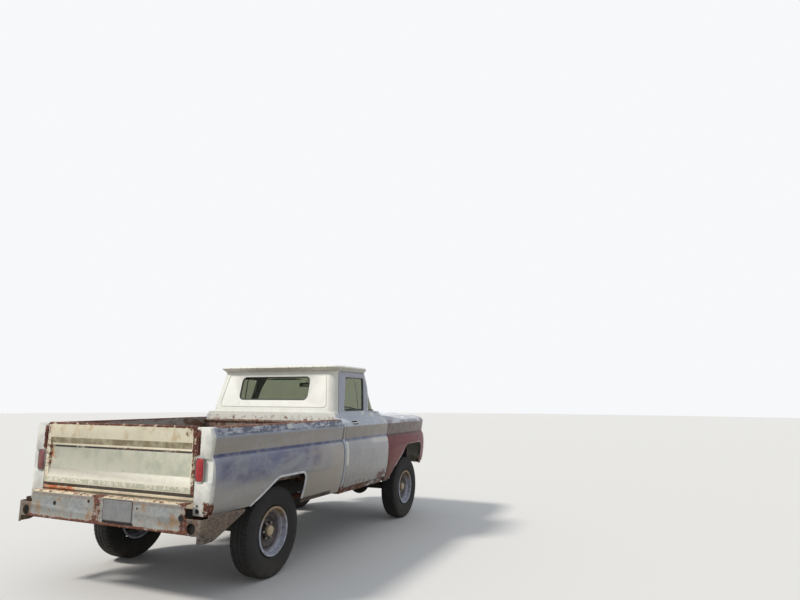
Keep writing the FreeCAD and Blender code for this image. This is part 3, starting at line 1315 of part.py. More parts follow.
PAIRED = (("door", door), ("door_glass", door_glass), ("fender", fender),
          ("bed_side", bed_side), ("knuckle", knuckle))
for label, make in PAIRED:
    for side_name, side in SIDES:
        add_feature(label + "_" + side_name, make(side))

doc.recompute()

# Checks on every object and sub-part before anything is written
for item in doc.Objects:
    bad = [state for state in item.State if state in ("Invalid", "Error")]
    if bad:
        raise RuntimeError(f"{item.Label}: {bad}")
subparts = [item for item in doc.Objects
            if item.TypeId in ("PartDesign::Body", "Part::Feature")]
for item in subparts:
    if item.Shape.isNull() or not item.Shape.isValid():
        raise RuntimeError(f"{item.Label}: shape is not valid")

os.makedirs("parts", exist_ok=True)
for item in subparts:
    item.Shape.exportStep(f"parts/{item.Label}.step")
    print(item.Label, len(item.Shape.Solids), "solids,", round(item.Shape.Volume / 1e6, 2), "litres")
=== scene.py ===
# %% [markdown]
# # A weathered pickup truck
# The CAD model gives every panel its true size and place. This lesson dresses it: panels get
# softened edges, tyres get tread, windows get rubber, and every surface gets paint, rust or dust.

# %% Load the frame
import json
import math

import bmesh
import bpy
import numpy as np
from mathutils import Matrix, Vector
from mathutils.bvhtree import BVHTree


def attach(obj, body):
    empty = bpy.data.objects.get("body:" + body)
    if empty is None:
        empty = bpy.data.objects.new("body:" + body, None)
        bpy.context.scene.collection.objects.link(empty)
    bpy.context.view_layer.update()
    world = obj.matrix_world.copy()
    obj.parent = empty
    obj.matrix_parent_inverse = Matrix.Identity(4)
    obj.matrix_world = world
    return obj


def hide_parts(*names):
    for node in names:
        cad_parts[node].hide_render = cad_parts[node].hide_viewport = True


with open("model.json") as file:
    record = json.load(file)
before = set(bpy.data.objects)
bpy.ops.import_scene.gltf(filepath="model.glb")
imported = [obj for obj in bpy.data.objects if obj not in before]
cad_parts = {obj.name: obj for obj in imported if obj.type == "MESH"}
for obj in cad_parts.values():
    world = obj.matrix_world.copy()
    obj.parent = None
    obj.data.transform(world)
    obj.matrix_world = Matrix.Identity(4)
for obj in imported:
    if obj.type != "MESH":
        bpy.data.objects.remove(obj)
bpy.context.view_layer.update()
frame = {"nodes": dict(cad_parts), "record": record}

NODES = frame["nodes"]
BODY_OF = {node: body for body, nodes in frame["record"]["behaviour"]["bodies"].items()
           for node in nodes}

# Places in metres that several cells share
REAR_AXLE_Y, FRONT_AXLE_Y, AXLE_Z = -1.36, 1.561, 0.385
BUMPER_BACK = -2.3965   # rearmost the bumper's rounded copy may reach
LIP_REACH = 0.9925      # farthest out the middle of an arch lip may run

# %% [markdown]
# ## Camera
# The camera stands behind the right rear corner, a little lower than the roof, and looks slightly
# up. Its place was worked out from straight edges of known length. The lens is a phone's wide one.

# %% Camera
CAMERA_PLACE = Vector((4.046, -5.838, 1.532))
YAW, PITCH, ROLL = (math.radians(a) for a in (23.72, 9.62, 0.30))
LENS = 26.24


def camera_turn(yaw, pitch, roll):
    """Columns right, up, back of a camera that looks along +Y turned left by yaw, up by pitch."""
    ahead = Vector((-math.sin(yaw) * math.cos(pitch), math.cos(yaw) * math.cos(pitch),
                    math.sin(pitch)))
    right = Vector((math.cos(yaw), math.sin(yaw), 0))
    up = right.cross(ahead)
    turned = right * math.cos(roll) + up * math.sin(roll)
    return Matrix((turned, turned.cross(ahead), -ahead)).transposed()


cam_data = bpy.data.cameras.new("camera")
cam_data.lens = LENS
cam_data.sensor_width = 36.0
camera = bpy.data.objects.new("camera", cam_data)
camera.matrix_world = (Matrix.Translation(CAMERA_PLACE)
                       @ camera_turn(YAW, PITCH, ROLL).to_4x4())
bpy.context.scene.collection.objects.link(camera)
bpy.context.scene.camera = camera
bpy.context.scene.view_settings.view_transform = "Standard"
print("camera at", tuple(round(c, 3) for c in CAMERA_PLACE))

# %% [markdown]
# ## Mesh helpers
# A surface is a grid of points, and a grid is one numpy array. Faces join each point with its
# neighbours, round the grid again where a side is closed. Whole arrays go into the mesh at once.

# %% Mesh helpers


def link(name, mesh, materials, body="chassis", smooth=True, sharp_angle=35.0):
    """Put a mesh in the scene under a body, with its materials and smooth shading."""
    obj = bpy.data.objects.new(name, mesh)
    bpy.context.scene.collection.objects.link(obj)
    for material in materials:
        mesh.materials.append(material)
    if smooth:
        mesh.shade_smooth()
        mesh.set_sharp_from_angle(angle=math.radians(sharp_angle))
    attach(obj, body)
    return obj


def mesh_from(name, points, faces):
    """Mesh of an (n, 3) array of points and a list of (m, k) arrays of faces."""
    mesh = bpy.data.meshes.new(name)
    mesh.from_pydata(points.reshape(-1, 3).tolist(), [],
                     [f for part in faces for f in part.tolist()])
    mesh.validate()
    mesh.update()
    return mesh


def points_of(mesh):
    """The mesh's points as an (n, 3) array."""
    points = np.empty(len(mesh.vertices) * 3)
    mesh.vertices.foreach_get("co", points)
    return points.reshape(-1, 3)


def move_points(mesh, points):
    """Write an (n, 3) array back as the mesh's points."""
    mesh.vertices.foreach_set("co", points.ravel())


def grid_faces(rows, cols, close_rows=False, close_cols=False, start=0):
    """Quads that join point (i, j) with (i + 1, j), (i + 1, j + 1) and (i, j + 1)."""
    i = np.arange(rows if close_rows else rows - 1)
    j = np.arange(cols if close_cols else cols - 1)
    i, j = np.meshgrid(i, j, indexing="ij")
    i2, j2 = (i + 1) % rows, (j + 1) % cols
    corner = lambda a, b: start + a * cols + b
    return np.stack([corner(i, j), corner(i2, j), corner(i2, j2), corner(i, j2)], -1).reshape(-1, 4)


def turn_outwards(mesh):
    """Recalculate normals of a closed mesh so that they point out, after merging doubles."""
    bm = bmesh.new()
    bm.from_mesh(mesh)
    bmesh.ops.remove_doubles(bm, verts=bm.verts, dist=1e-5)
    bmesh.ops.recalc_face_normals(bm, faces=bm.faces)
    bm.to_mesh(mesh)
    bm.free()
    return mesh


def rounded_path(corners, radii, steps=6):
    """Closed path of 3-D corners, each replaced by a quadratic curve of the given reach."""
    corners = np.asarray(corners, float)
    radii = np.broadcast_to(np.asarray(radii, float), len(corners))
    t = np.linspace(0, 1, steps)[:, None]
    pieces = []
    for point, before, after, r in zip(corners, np.roll(corners, 1, 0), np.roll(corners, -1, 0),
                                       radii):
        start = point + (before - point) / np.linalg.norm(before - point) * r
        end = point + (after - point) / np.linalg.norm(after - point) * r
        pieces.append((1 - t) ** 2 * start + 2 * t * (1 - t) * point + t ** 2 * end)
    return np.concatenate(pieces)


def swept(name, path, section, closed=True, up=(0, 0, 1)):
    """Section rows (across, out) carried along a path: point = path + across * side + out * up."""
    path = np.asarray(path, float)
    if closed:
        along = np.roll(path, -1, 0) - np.roll(path, 1, 0)
    else:
        along = np.gradient(path, axis=0)
    along /= np.linalg.norm(along, axis=1, keepdims=True)
    up = np.broadcast_to(np.asarray(up, float), path.shape)
    side = np.cross(along, up)
    side /= np.linalg.norm(side, axis=1, keepdims=True)
    top = np.cross(side, along)
    section = np.asarray(section, float)
    points = (path[:, None] + section[None, :, 0, None] * side[:, None]
              + section[None, :, 1, None] * top[:, None])
    rows, cols = points.shape[:2]
    faces = [grid_faces(rows, cols, closed, True)]
    if not closed:
        faces += [np.arange(cols)[None, ::-1], (rows - 1) * cols + np.arange(cols)[None]]
    return turn_outwards(mesh_from(name, points, faces))


def round_section(width, height, count=10):
    """Ellipse of a tube's section as rows (across, out)."""
    a = np.linspace(0, 2 * np.pi, count, endpoint=False)
    return np.stack([np.cos(a) * width / 2, np.sin(a) * height / 2], -1)


def even_path(points, spacing, closed=True):
    """Path with equal steps, by linear interpolation over its own length."""
    points = np.concatenate([points, points[:1]]) if closed else points
    step = np.linalg.norm(np.diff(points, axis=0), axis=1)
    length = np.concatenate([[0], np.cumsum(step)])
    count = max(int(length[-1] / spacing), 8)
    along = np.linspace(0, length[-1], count, endpoint=not closed)
    return np.stack([np.interp(along, length, points[:, k]) for k in range(3)], -1)


def tube(name, points, spacing, section, material, body="chassis", up=(0, 0, 1)):
    """Bar of elliptic section (width, height, sides) along a path, in equal steps if spaced."""
    path = np.asarray(points, float)
    path = even_path(path, spacing, False) if spacing else path
    return link(name, swept(name, path, round_section(*section), False, up), [material], body)

# %% [markdown]
# ## Finishes
# Every finish is a small graph on Object coordinates, so a streak or a rust patch keeps its real
# size and stays on its panel when the panel moves. The helper below shortens the graph writing.

# %% Graph helper


def rgb(red, green, blue):
    """Linear colour of a display colour given as 0 to 255."""
    c = np.array([red, green, blue]) / 255.0
    c = np.where(c <= 0.04045, c / 12.92, ((c + 0.055) / 1.055) ** 2.4)
    return (*c.tolist(), 1.0)


class Finish:
    """A material under construction, with short calls for the nodes used here."""

    def __init__(self, name, rough=0.5, metallic=0.0, color=None):
        self.material = bpy.data.materials.new(name)
        self.material.use_nodes = True
        self.tree = self.material.node_tree
        self.shader = self.tree.nodes["Principled BSDF"]
        self.shader.inputs["Roughness"].default_value = rough
        self.shader.inputs["Metallic"].default_value = metallic
        if color:
            self.shader.inputs["Base Color"].default_value = color
            self.material.diffuse_color = color
        self.coords = self.node("ShaderNodeTexCoord").outputs["Object"]
        split = self.node("ShaderNodeSeparateXYZ")
        self.wire(self.coords, split.inputs[0])
        self.x, self.y, self.z = split.outputs

    def node(self, kind, **settings):
        made = self.tree.nodes.new(kind)
        for key, value in settings.items():
            setattr(made, key, value)
        return made

    def wire(self, source, target):
        if hasattr(source, "is_output"):
            self.tree.links.new(source, target)
        else:
            target.default_value = source

    def noise(self, scale, detail=4.0, rough=0.55, stretch=(1, 1, 1), offset=(0, 0, 0),
              distortion=0.0):
        """Cloud between 0 and 1, scale in clouds per metre, stretched by unequal factors."""
        place = self.node("ShaderNodeMapping")
        self.wire(self.coords, place.inputs["Vector"])
        place.inputs["Scale"].default_value = stretch
        place.inputs["Location"].default_value = offset
        cloud = self.node("ShaderNodeTexNoise")
        self.wire(place.outputs[0], cloud.inputs["Vector"])
        cloud.inputs["Scale"].default_value = scale
        cloud.inputs["Detail"].default_value = detail
        cloud.inputs["Roughness"].default_value = rough
        cloud.inputs["Distortion"].default_value = distortion
        return cloud.outputs["Fac"]

    def spread(self, value, low, high, out_low=0.0, out_high=1.0):
        """Value from low..high stretched smoothly over out_low..out_high."""
        step = self.node("ShaderNodeMapRange", interpolation_type="SMOOTHSTEP")
        self.wire(value, step.inputs["Value"])
        for key, number in (("From Min", low), ("From Max", high), ("To Min", out_low),
                            ("To Max", out_high)):
            step.inputs[key].default_value = number
        return step.outputs["Result"]

    def math(self, operation, a, b=0.0, clamp=False):
        made = self.node("ShaderNodeMath", operation=operation, use_clamp=clamp)
        self.wire(a, made.inputs[0])
        self.wire(b, made.inputs[1])
        return made.outputs[0]

    def times(self, *values):
        result = values[0]
        for value in values[1:]:
            result = self.math("MULTIPLY", result, value)
        return result

    def plus(self, *values):
        result = values[0]
        for value in values[1:]:
            result = self.math("ADD", result, value, clamp=True)
        return result

    def band(self, axis, low, high, soft=0.01):
        """1 between low and high along an axis, fading over soft."""
        rise = self.spread(axis, low - soft, low + soft)
        fall = self.spread(axis, high - soft, high + soft, 1.0, 0.0)
        return self.times(rise, fall)

    def mix(self, a, b, share):
        made = self.node("ShaderNodeMix", data_type="RGBA")
        self.wire(share, made.inputs[0])
        self.wire(a, made.inputs[6])
        self.wire(b, made.inputs[7])
        return made.outputs[2]

    def bump(self, height, strength=0.3, distance=0.002):
        made = self.node("ShaderNodeBump")
        made.inputs["Strength"].default_value = strength
        made.inputs["Distance"].default_value = distance
        self.wire(height, made.inputs["Height"])
        self.wire(made.outputs[0], self.shader.inputs["Normal"])

    def done(self, color=None, rough=None):
        if color is not None:
            self.wire(color, self.shader.inputs["Base Color"])
        if rough is not None:
            self.wire(rough, self.shader.inputs["Roughness"])
        return self.material


# %% [markdown]
# ## Weathered paint
# Sixty years in the open leave three layers on a panel. The paint has chalked into soft clouds with
# streaks that run down. Where it is thin, grey primer shows in ragged patches. Where water stands,
# rust spreads from the edge in dark brown with an orange rim, and it is rough where the paint is
# not. Some rows of marks also paint light and shade into the colour: sky and ground reflections in
# bands along the body's ridge, shade in its crease and inside the wheel openings, and a painted
# highlight and shade on the tailgate's ledges.

# %% Weathered paint
RUST_DARK = rgb(74, 46, 40)
RUST_BRIGHT = rgb(126, 72, 48)
PRIMER = rgb(138, 136, 130)
DUST = rgb(176, 158, 128)


def rust_over(f, color, where, amount=0.5, scale=22.0):
    """Rust laid over a colour where a mask allows it. Returns the colour and the rust's mask."""
    ragged = f.noise(scale, 10.0, 0.72, distortion=0.25)
    speckle = f.times(f.spread(f.noise(110.0, 3.0, 0.6), 0.3, 0.7), 0.10)
    level = f.math("ADD", f.math("MULTIPLY", where, amount), speckle)
    edge = f.math("ADD", ragged, level)
    mask = f.spread(edge, 0.84, 0.93)
    rim = f.spread(edge, 0.76, 0.90)
    tone = f.mix(RUST_BRIGHT, RUST_DARK, f.spread(f.noise(55, 6.0, 0.7), 0.38, 0.6))
    stained = f.mix(color, rgb(168, 124, 92), f.times(rim, 0.5))
    return f.mix(stained, tone, mask), mask


def aged(f, paint, second, patches=0.35, streaks=0.25, chalky=0.16):
    """Chalky paint: two tones in clouds, streaks running down, primer showing in patches."""
    clouds = f.spread(f.noise(2.6, 5.0, 0.6), 0.35, 0.68)
    tone = f.mix(paint, second, clouds)
    lines = f.spread(f.noise(9.0, 5.0, 0.65, stretch=(1, 1, 0.12)), 0.50, 0.72)
    tone = f.mix(tone, PRIMER, f.times(lines, streaks))
    bare = f.spread(f.noise(7.0, 9.0, 0.66, offset=(3, 1, 7), distortion=0.6), 0.60, 0.66)
    tone = f.mix(tone, PRIMER, f.times(bare, patches))
    chalk = f.spread(f.noise(34.0, 7.0, 0.7, offset=(5, 2, 1)), 0.36, 0.64, 0.0, chalky)
    return f.mix(tone, rgb(250, 248, 240), chalk)


def read_marks(text):
    """Rows "kind | spans | colour | numbers" as lists by kind. A span is axis, low, high, soft."""
    marks = {"paint": [], "chips": [], "rust": []}
    for row in text.strip().splitlines():
        kind, where, *rest = (part.strip() for part in row.split("|"))
        spans = [(span.split()[0], *map(float, span.split()[1:])) for span in where.split(",")]
        tone = [rgb(*map(float, rest[0].split()))] if kind != "rust" else []
        marks[kind].append((spans, *tone, *map(float, rest[-1].split())))
    return marks


def paint_finish(name, paint, second, marks="", rust=0.5, patches=0.35, streaks=0.25, rough=0.42,
                 dust=0.5, dust_top=0.95, chalky=0.16):
    """Old paint with marks, one to a row: where it lies on the truck, its colour and its numbers.

    A "paint" row ends with its share, "chips" with clouds per metre, share and blur, and "rust"
    with its amount.
    """
    f = Finish(name, rough)
    marks = read_marks(marks)
    color = aged(f, paint, second, patches, streaks, chalky)
    axes = {"x": f.x, "y": f.y, "z": f.z}

    def within(area, spans):
        for axis, low, high, soft in spans:
            area = f.times(area, f.band(axes[axis], low, high, soft))
        return area

    for spans, tone, share in marks["paint"]:
        area = within(share, spans)
        mottled = f.spread(f.noise(11.0, 6.0, 0.62, offset=(1, 5, 2)), 0.30, 0.62, 0.55, 1.0)
        color = f.mix(color, tone, f.times(area, mottled))
    for k, (spans, tone, scale, share, blur) in enumerate(marks["chips"]):
        cloud = f.noise(scale, 9.0, 0.66, (1, 0.55, 1), (k + 4, 2 * k, 9), 0.5)
        area = within(f.spread(cloud, 0.68 - 0.3 * share - blur, 0.68 - 0.3 * share + blur), spans)
        color = f.mix(color, tone, area)
    low = f.spread(f.z, 0.45, dust_top, 1.0, 0.0)
    grime = f.times(low, f.spread(f.noise(5, 6.0, 0.6), 0.35, 0.7))
    color = f.mix(color, DUST, f.times(grime, dust))
    masks = [within(amount, spans) for spans, amount in marks["rust"]]
    where = f.plus(*masks) if masks else 0.0
    color, mask = rust_over(f, color, f.plus(where, 0.12) if masks else 0.12, rust)
    fine = f.noise(120, 3.0, 0.6)
    f.bump(f.math("ADD", f.times(mask, fine), f.times(f.noise(3.0, 2.0), 0.5)), 0.35, 0.004)
    gloss = f.math("ADD", rough, f.times(f.noise(6, 5.0), 0.22))
    return f.done(color, f.math("ADD", gloss, f.times(mask, 0.35), clamp=True))


# Rows that paint light and shade: the bluish band at z 1.20 to 1.30 is a painted sky reflection on
# the up-facing shoulder, the warm grey band at z 1.112 to 1.232 is painted shade with a painted
# ground reflection under the ridge, the dark blue line at z 1.084 to 1.112 is painted shade in the
# crease, the bluish band below the crease is painted sky reflection and shade on the side, and the
# near-black chips at x 0.88 to 0.945 each way are painted shade inside the wheel opening.
bed_paint_and_painted_light = paint_finish(
    "bed_paint_and_painted_light", rgb(184, 186, 196), rgb(166, 168, 180), rust=0.45, patches=0.5, marks="""
    paint | z 1.20 1.30 0.012 | 158 164 180 | 0.8
    paint | z 1.112 1.232 0.006 | 168 160 150 | 0.9
    paint | z 0.86 1.085 0.05, y -2.3 -0.75 0.25 | 106 114 148 | 0.95
    paint | z 1.084 1.112 0.006 | 62 68 112 | 1.0
    paint | z 0.50 0.92 0.06 | 176 172 166 | 0.7
    paint | y -1.02 -0.2 0.12, z 0.5 1.07 0.02 | 182 172 160 | 0.8
    paint | y -2.4 -2.282 0.005, z 0.6 1.33 0.01 | 240 240 232 | 1.0
    chips | z 1.245 1.33 0.012, y -2.25 0.0 0.02 | 88 94 112 | 11.0 0.66 0.03
    chips | z 1.262 1.33 0.010, y -2.25 0.0 0.02 | 206 208 210 | 16.0 0.36 0.02
    chips | z 0.88 1.07 0.04, y -2.2 -0.8 0.1 | 98 92 124 | 4.0 0.6 0.12
    chips | z 0.84 1.08 0.03, y -2.2 -0.6 0.1 | 156 158 166 | 3.0 0.5 0.12
    chips | x 0.88 0.945 0.003, y -2.2 -0.5 0.01, z 0.5 0.99 0.01 | 34 30 30 | 3.0 3.0 0.05
    chips | x -0.945 -0.88 0.003, y -2.2 -0.5 0.01, z 0.5 0.99 0.01 | 34 30 30 | 3.0 3.0 0.05
    chips | x -0.88 0.88 0.003, y -2.26 0.0 0.005, z 0.5 1.30 0.005 | 158 154 148 | 3.0 3.0 0.05
    chips | x -0.88 0.88 0.003, y -2.26 0.0 0.005, z 0.5 1.30 0.005 | 108 84 68 | 6.0 0.55 0.06
    rust | z 1.300 1.40 0.010, y -2.24 0.0 0.02 | 0.8
    rust | y -2.4 -2.26 0.01, z 0.66 0.76 0.03, x 0.93 1.1 0.02 | 0.8
    rust | y -2.4 -2.26 0.01, z 0.66 0.80 0.03 | 0.25
    rust | z 0.40 0.59 0.015 | 0.5
    rust | y -2.4 -2.29 0.01, z 1.09 1.30 0.03, x -0.87 0.87 0.01 | 0.95
    rust | z 1.108 1.122 0.006 | 0.25""")
# Rows that paint light and shade: the bluish tone on the cab's sides, beyond x 0.86 each way, is a
# painted sky reflection on the side in shade, and the warm grey band there at z 1.112 to 1.234 is
# painted shade under the ridge.
cab_white_and_painted_light = paint_finish(
    "cab_white_and_painted_light", rgb(236, 236, 228), rgb(224, 224, 214), rust=0.42, patches=0.18, streaks=0.12,
    dust=0.2, marks="""
    paint | z 1.20 1.43 0.03 | 208 208 198 | 0.7
    paint | z 0.4 1.385 0.01, x 0.86 1.1 0.004 | 190 197 210 | 1.0
    paint | z 0.4 1.385 0.01, x -1.1 -0.86 0.004 | 190 197 210 | 1.0
    paint | z 1.112 1.234 0.006, x 0.86 1.1 0.004 | 172 164 154 | 0.9
    paint | z 0.4 0.62 0.01 | 84 66 58 | 0.9
    rust | z 1.25 1.355 0.02, x -0.86 0.86 0.01 | 0.45
    rust | z 0.4 0.64 0.02 | 0.8""")
# Rows that paint light and shade: the bluish shoulder at z 1.236 to 1.385 and the bluish window
# frame above z 1.385 are painted sky reflection on the side in shade, the warm grey band at z 1.112
# to 1.234 is painted shade under the ridge, and the blue line at z 1.080 to 1.114 is painted shade
# in the crease.
door_paint_and_painted_light = paint_finish(
    "door_paint_and_painted_light", rgb(196, 194, 196), rgb(182, 182, 188), rust=0.4, patches=0.22, streaks=0.12,
    marks="""
    paint | z 1.236 1.385 0.008 | 190 197 210 | 0.8
    paint | z 1.112 1.234 0.006 | 172 164 154 | 0.9
    paint | z 1.080 1.114 0.010 | 104 112 154 | 0.8
    paint | z 1.385 1.9 0.01 | 166 172 190 | 0.85
    paint | y -0.28 -0.218 0.006, z 0.84 1.08 0.02 | 250 250 244 | 1.0
    paint | y 0.35 0.80 0.06, z 1.03 1.085 0.012 | 232 230 224 | 0.8
    chips | x -0.93 0.93 0.003, z 0.4 1.23 0.004 | 156 160 158 | 3.0 3.0 0.05
    chips | x -0.93 0.93 0.003, z 0.4 1.23 0.004 | 120 112 104 | 6.0 0.4 0.08
    chips | y 0.55 0.80 0.05, z 0.60 0.70 0.03 | 96 56 50 | 14.0 0.75 0.03
    chips | z 1.25 1.385 0.01, y 0.3 0.82 0.05 | 222 224 226 | 9.0 0.5 0.04
    rust | z 0.55 0.66 0.02 | 0.45""")
# Rows that paint light and shade: the grey-blue shoulder at z 1.232 to 1.40 is a painted sky
# reflection, the warm grey band at z 1.100 to 1.232 is painted shade under the ridge, the dark line
# at z 1.078 to 1.104 is painted shade in the crease, and the near-black chips at x 0.5 to 0.925 are
# painted shade inside the wheel opening.
fender_red_and_painted_light = paint_finish(
    "fender_red_and_painted_light", rgb(128, 60, 64), rgb(108, 50, 54), rust=0.35, patches=0.06, streaks=0.1,
    chalky=0.03, marks="""
    paint | z 1.232 1.40 0.008 | 188 192 202 | 0.95
    paint | z 1.100 1.232 0.010 | 156 150 148 | 0.95
    paint | z 1.078 1.104 0.008 | 72 60 66 | 0.8
    chips | x 0.5 0.925 0.004, y 0.7 2.03 0.005, z 0.4 1.12 0.01 | 36 33 33 | 3.0 3.0 0.05
    chips | z 1.232 1.33 0.008 | 226 228 230 | 8.0 0.5 0.06
    rust | z 0.50 0.66 0.03 | 0.4""")
# Rows that paint light and shade: the warm grey band at z 1.112 to 1.234 is painted shade under the
# ridge, the blue line at z 1.080 to 1.114 is painted shade in the crease, and the near-black chips
# at x -0.925 to -0.5 are painted shade inside the wheel opening.
fender_white_and_painted_light = paint_finish(
    "fender_white_and_painted_light", rgb(196, 196, 200), rgb(184, 186, 194), rust=0.4, patches=0.3, marks="""
    paint | z 1.112 1.234 0.006 | 172 164 154 | 0.9
    paint | z 1.080 1.114 0.010 | 104 112 154 | 0.8
    chips | x -0.925 -0.5 0.004, y 0.7 2.03 0.005, z 0.4 1.12 0.01 | 36 33 33 | 3.0 3.0 0.05
    rust | z 0.50 0.64 0.03 | 0.5""")
# The near-black chips at y 0.80 to 1.4 below z 1.10 are painted shade on the cowl's panels inside
# the wheel openings.
hood_paint = paint_finish(
    "hood_paint", rgb(220, 222, 224), rgb(178, 184, 198), rust=0.3, patches=0.45, streaks=0.05,
    rough=0.45, marks="""
    chips | y 0.80 1.4 0.005, z 0.4 1.10 0.01 | 36 33 33 | 3.0 3.0 0.05
    chips | z 0.4 0.635 0.008 | 96 64 54 | 9.0 0.85 0.05
    chips | z 1.25 1.42 0.01 | 236 238 240 | 6.0 0.5 0.05""")
# Rows that paint light and shade: the brown band at z 1.146 to 1.194 is painted shade on the slope
# that faces down, the near-white band at z 0.870 to 0.938 is a painted highlight on the ledge that
# faces up, and the near-black line at z 1.114 to 1.130 is a painted shadow under the lip at the top
# of the recess.
tailgate_paint = paint_finish(
    "tailgate_paint", rgb(250, 242, 216), rgb(240, 230, 202), rust=0.42, patches=0.22,
    streaks=0.14, marks="""
    paint | z 0.938 1.116 0.003, x -0.785 0.785 0.003 | 188 193 176 | 0.95
    paint | z 1.146 1.194 0.003, x -0.787 0.787 0.003 | 140 128 98 | 1.0
    paint | z 0.870 0.938 0.004, x -0.787 0.787 0.003 | 248 244 230 | 1.0
    paint | z 0.826 0.866 0.004 | 180 184 164 | 0.9
    chips | z 0.93 1.12 0.01, x -0.78 0.78 0.01 | 214 212 196 | 5.0 0.5 0.10
    chips | z 1.20 1.31 0.01, x -0.80 0.78 0.02 | 222 200 162 | 8.0 0.36 0.09
    chips | z 0.94 1.12 0.01, x -0.785 -0.72 0.03 | 206 132 84 | 12.0 0.6 0.03
    chips | z 0.83 0.94 0.01, x -0.80 0.80 0.02 | 240 236 222 | 22.0 0.5 0.05
    chips | z 1.114 1.130 0.002, x -0.787 0.787 0.003 | 44 36 34 | 6.0 1.0 0.10
    chips | z 0.80 0.822 0.002 | 46 38 34 | 3.0 3.0 0.05
    rust | z 1.302 1.33 0.004 | 0.85
    rust | z 1.118 1.136 0.004, x -0.2 0.79 0.2 | 0.5
    rust | z 0.80 0.822 0.008 | 0.45
    rust | z 1.24 1.31 0.02, x 0.70 0.80 0.03 | 0.6
    rust | x -0.84 -0.79 0.01 | 0.5
    rust | x 0.79 0.84 0.01 | 0.75
    rust | x -0.79 -0.765 0.01, z 0.93 1.15 0.01 | 0.6""")
bumper_paint = paint_finish(
    "bumper_paint", rgb(142, 148, 150), rgb(126, 132, 134), rust=0.5, patches=0.12, streaks=0.08,
    marks="""
    paint | x 0.845 1.05 0.01 | 88 70 61 | 1.0
    paint | x -1.05 -0.835 0.01 | 98 80 70 | 0.95
    paint | y -2.33 -1.8 0.02 | 98 80 72 | 0.95
    paint | z 0.726 0.748 0.004, x -0.84 0.80 0.02 | 120 92 76 | 0.5
    paint | z 0.752 0.80 0.003, x -0.86 0.86 0.01 | 232 216 184 | 1.0
    chips | x 0.845 1.05 0.01 | 52 42 38 | 60.0 0.55 0.05
    chips | x 0.845 1.05 0.01 | 140 122 112 | 75.0 0.24 0.04
    chips | x -0.80 0.80 0.05, z 0.57 0.75 0.02 | 150 120 92 | 9.0 0.35 0.06
    rust | z 0.755 0.80 0.004 | 0.45
    rust | z 0.50 0.574 0.012, x -0.9 0.83 0.02 | 0.75
    rust | x 0.84 1.05 0.02 | 0.25
    rust | x -1.05 -0.82 0.02 | 0.3
    rust | x -0.12 -0.02 0.03 | 0.6
    rust | x 0.78 0.86 0.02 | 0.6""")
front_bumper_paint = paint_finish(
    "front_bumper_paint", rgb(176, 178, 176), rgb(156, 158, 156), rust=0.45, patches=0.3,
    marks="""
    chips | z 0.6 0.8 0.02 | 124 118 110 | 7.0 0.45 0.08
    rust | z 0.60 0.66 0.01 | 0.5
    rust | z 0.775 0.82 0.006 | 0.35
    rust | x 0.72 0.9 0.04 | 0.5
    rust | x -0.9 -0.72 0.04 | 0.4""")
bed_floor_paint = paint_finish(
    "bed_floor_paint", rgb(150, 142, 130), rgb(112, 100, 88), rust=0.5, patches=0.3, rough=0.65,
    marks="""
    paint | y -2.5 -2.277 0.003 | 236 220 188 | 1.0
    chips | y -2.5 -2.277 0.003, x -0.84 -0.45 0.08 | 200 108 54 | 10.0 0.8 0.05
    chips | y -2.26 0.0 0.01 | 92 74 62 | 6.0 0.6 0.08
    rust | y -2.5 -2.277 0.003, x -0.85 -0.3 0.2 | 0.35
    rust | y -2.26 0.0 0.01 | 0.5""")

# %% [markdown]
# ## Plain finishes
# Rubber, glass, dull steel and seat vinyl are each one small graph. Dust settles low and in
# hollows, so even black rubber is brownish where it meets the ground.

# %% Plain finishes


def dull_finish(name, color, second, rough=0.7, metallic=0.0, scale=18.0, dust=0.35, dust_top=0.7,
                bump=0.15, rust=0.0):
    """Two close tones in clouds with dust low down, for rubber, cast iron, trim and vinyl."""
    f = Finish(name, rough, metallic)
    tone = f.mix(color, second, f.spread(f.noise(scale, 6.0, 0.6), 0.35, 0.65))
    low = f.times(f.spread(f.z, 0.05, dust_top, 1.0, 0.0),
                  f.spread(f.noise(9.0, 6.0, 0.65), 0.3, 0.7))
    tone = f.mix(tone, DUST, f.times(low, dust))
    if rust:
        tone, _ = rust_over(f, tone, rust, 1.0, 22.0)
    f.bump(f.noise(scale * 8, 4.0, 0.6), bump, 0.001)
    return f.done(tone, f.spread(f.noise(scale, 4.0), 0.2, 0.8, rough - 0.08,
                                 min(rough + 0.1, 1.0)))


tyre_rubber = dull_finish("tyre_rubber", rgb(36, 36, 36), rgb(44, 43, 43), 0.85, dust=0.10,
                          dust_top=0.25)
black_rubber = dull_finish("black_rubber", rgb(30, 30, 31), rgb(44, 44, 44), 0.6, dust=0.1)
chassis_black = dull_finish("chassis_black", rgb(40, 38, 37), rgb(54, 49, 46), 0.8, dust=0.2,
                            dust_top=0.7, rust=0.08)
engine_iron = dull_finish("engine_iron", rgb(88, 92, 96), rgb(66, 62, 58), 0.65, dust=0.3,
                          rust=0.15)
cabin_paint = dull_finish("cabin_paint", rgb(150, 154, 152), rgb(132, 134, 132), 0.55, dust=0.0)
wheel_paint = dull_finish("wheel_paint", rgb(182, 186, 194), rgb(150, 150, 152), 0.5, dust=0.25,
                          dust_top=0.5, rust=0.06)
cap_cream = dull_finish("cap_cream", rgb(214, 196, 162), rgb(196, 176, 140), 0.4, dust=0.1)
seat_vinyl = dull_finish("seat_vinyl", rgb(74, 76, 80), rgb(88, 88, 90), 0.55, dust=0.0, bump=0.3)
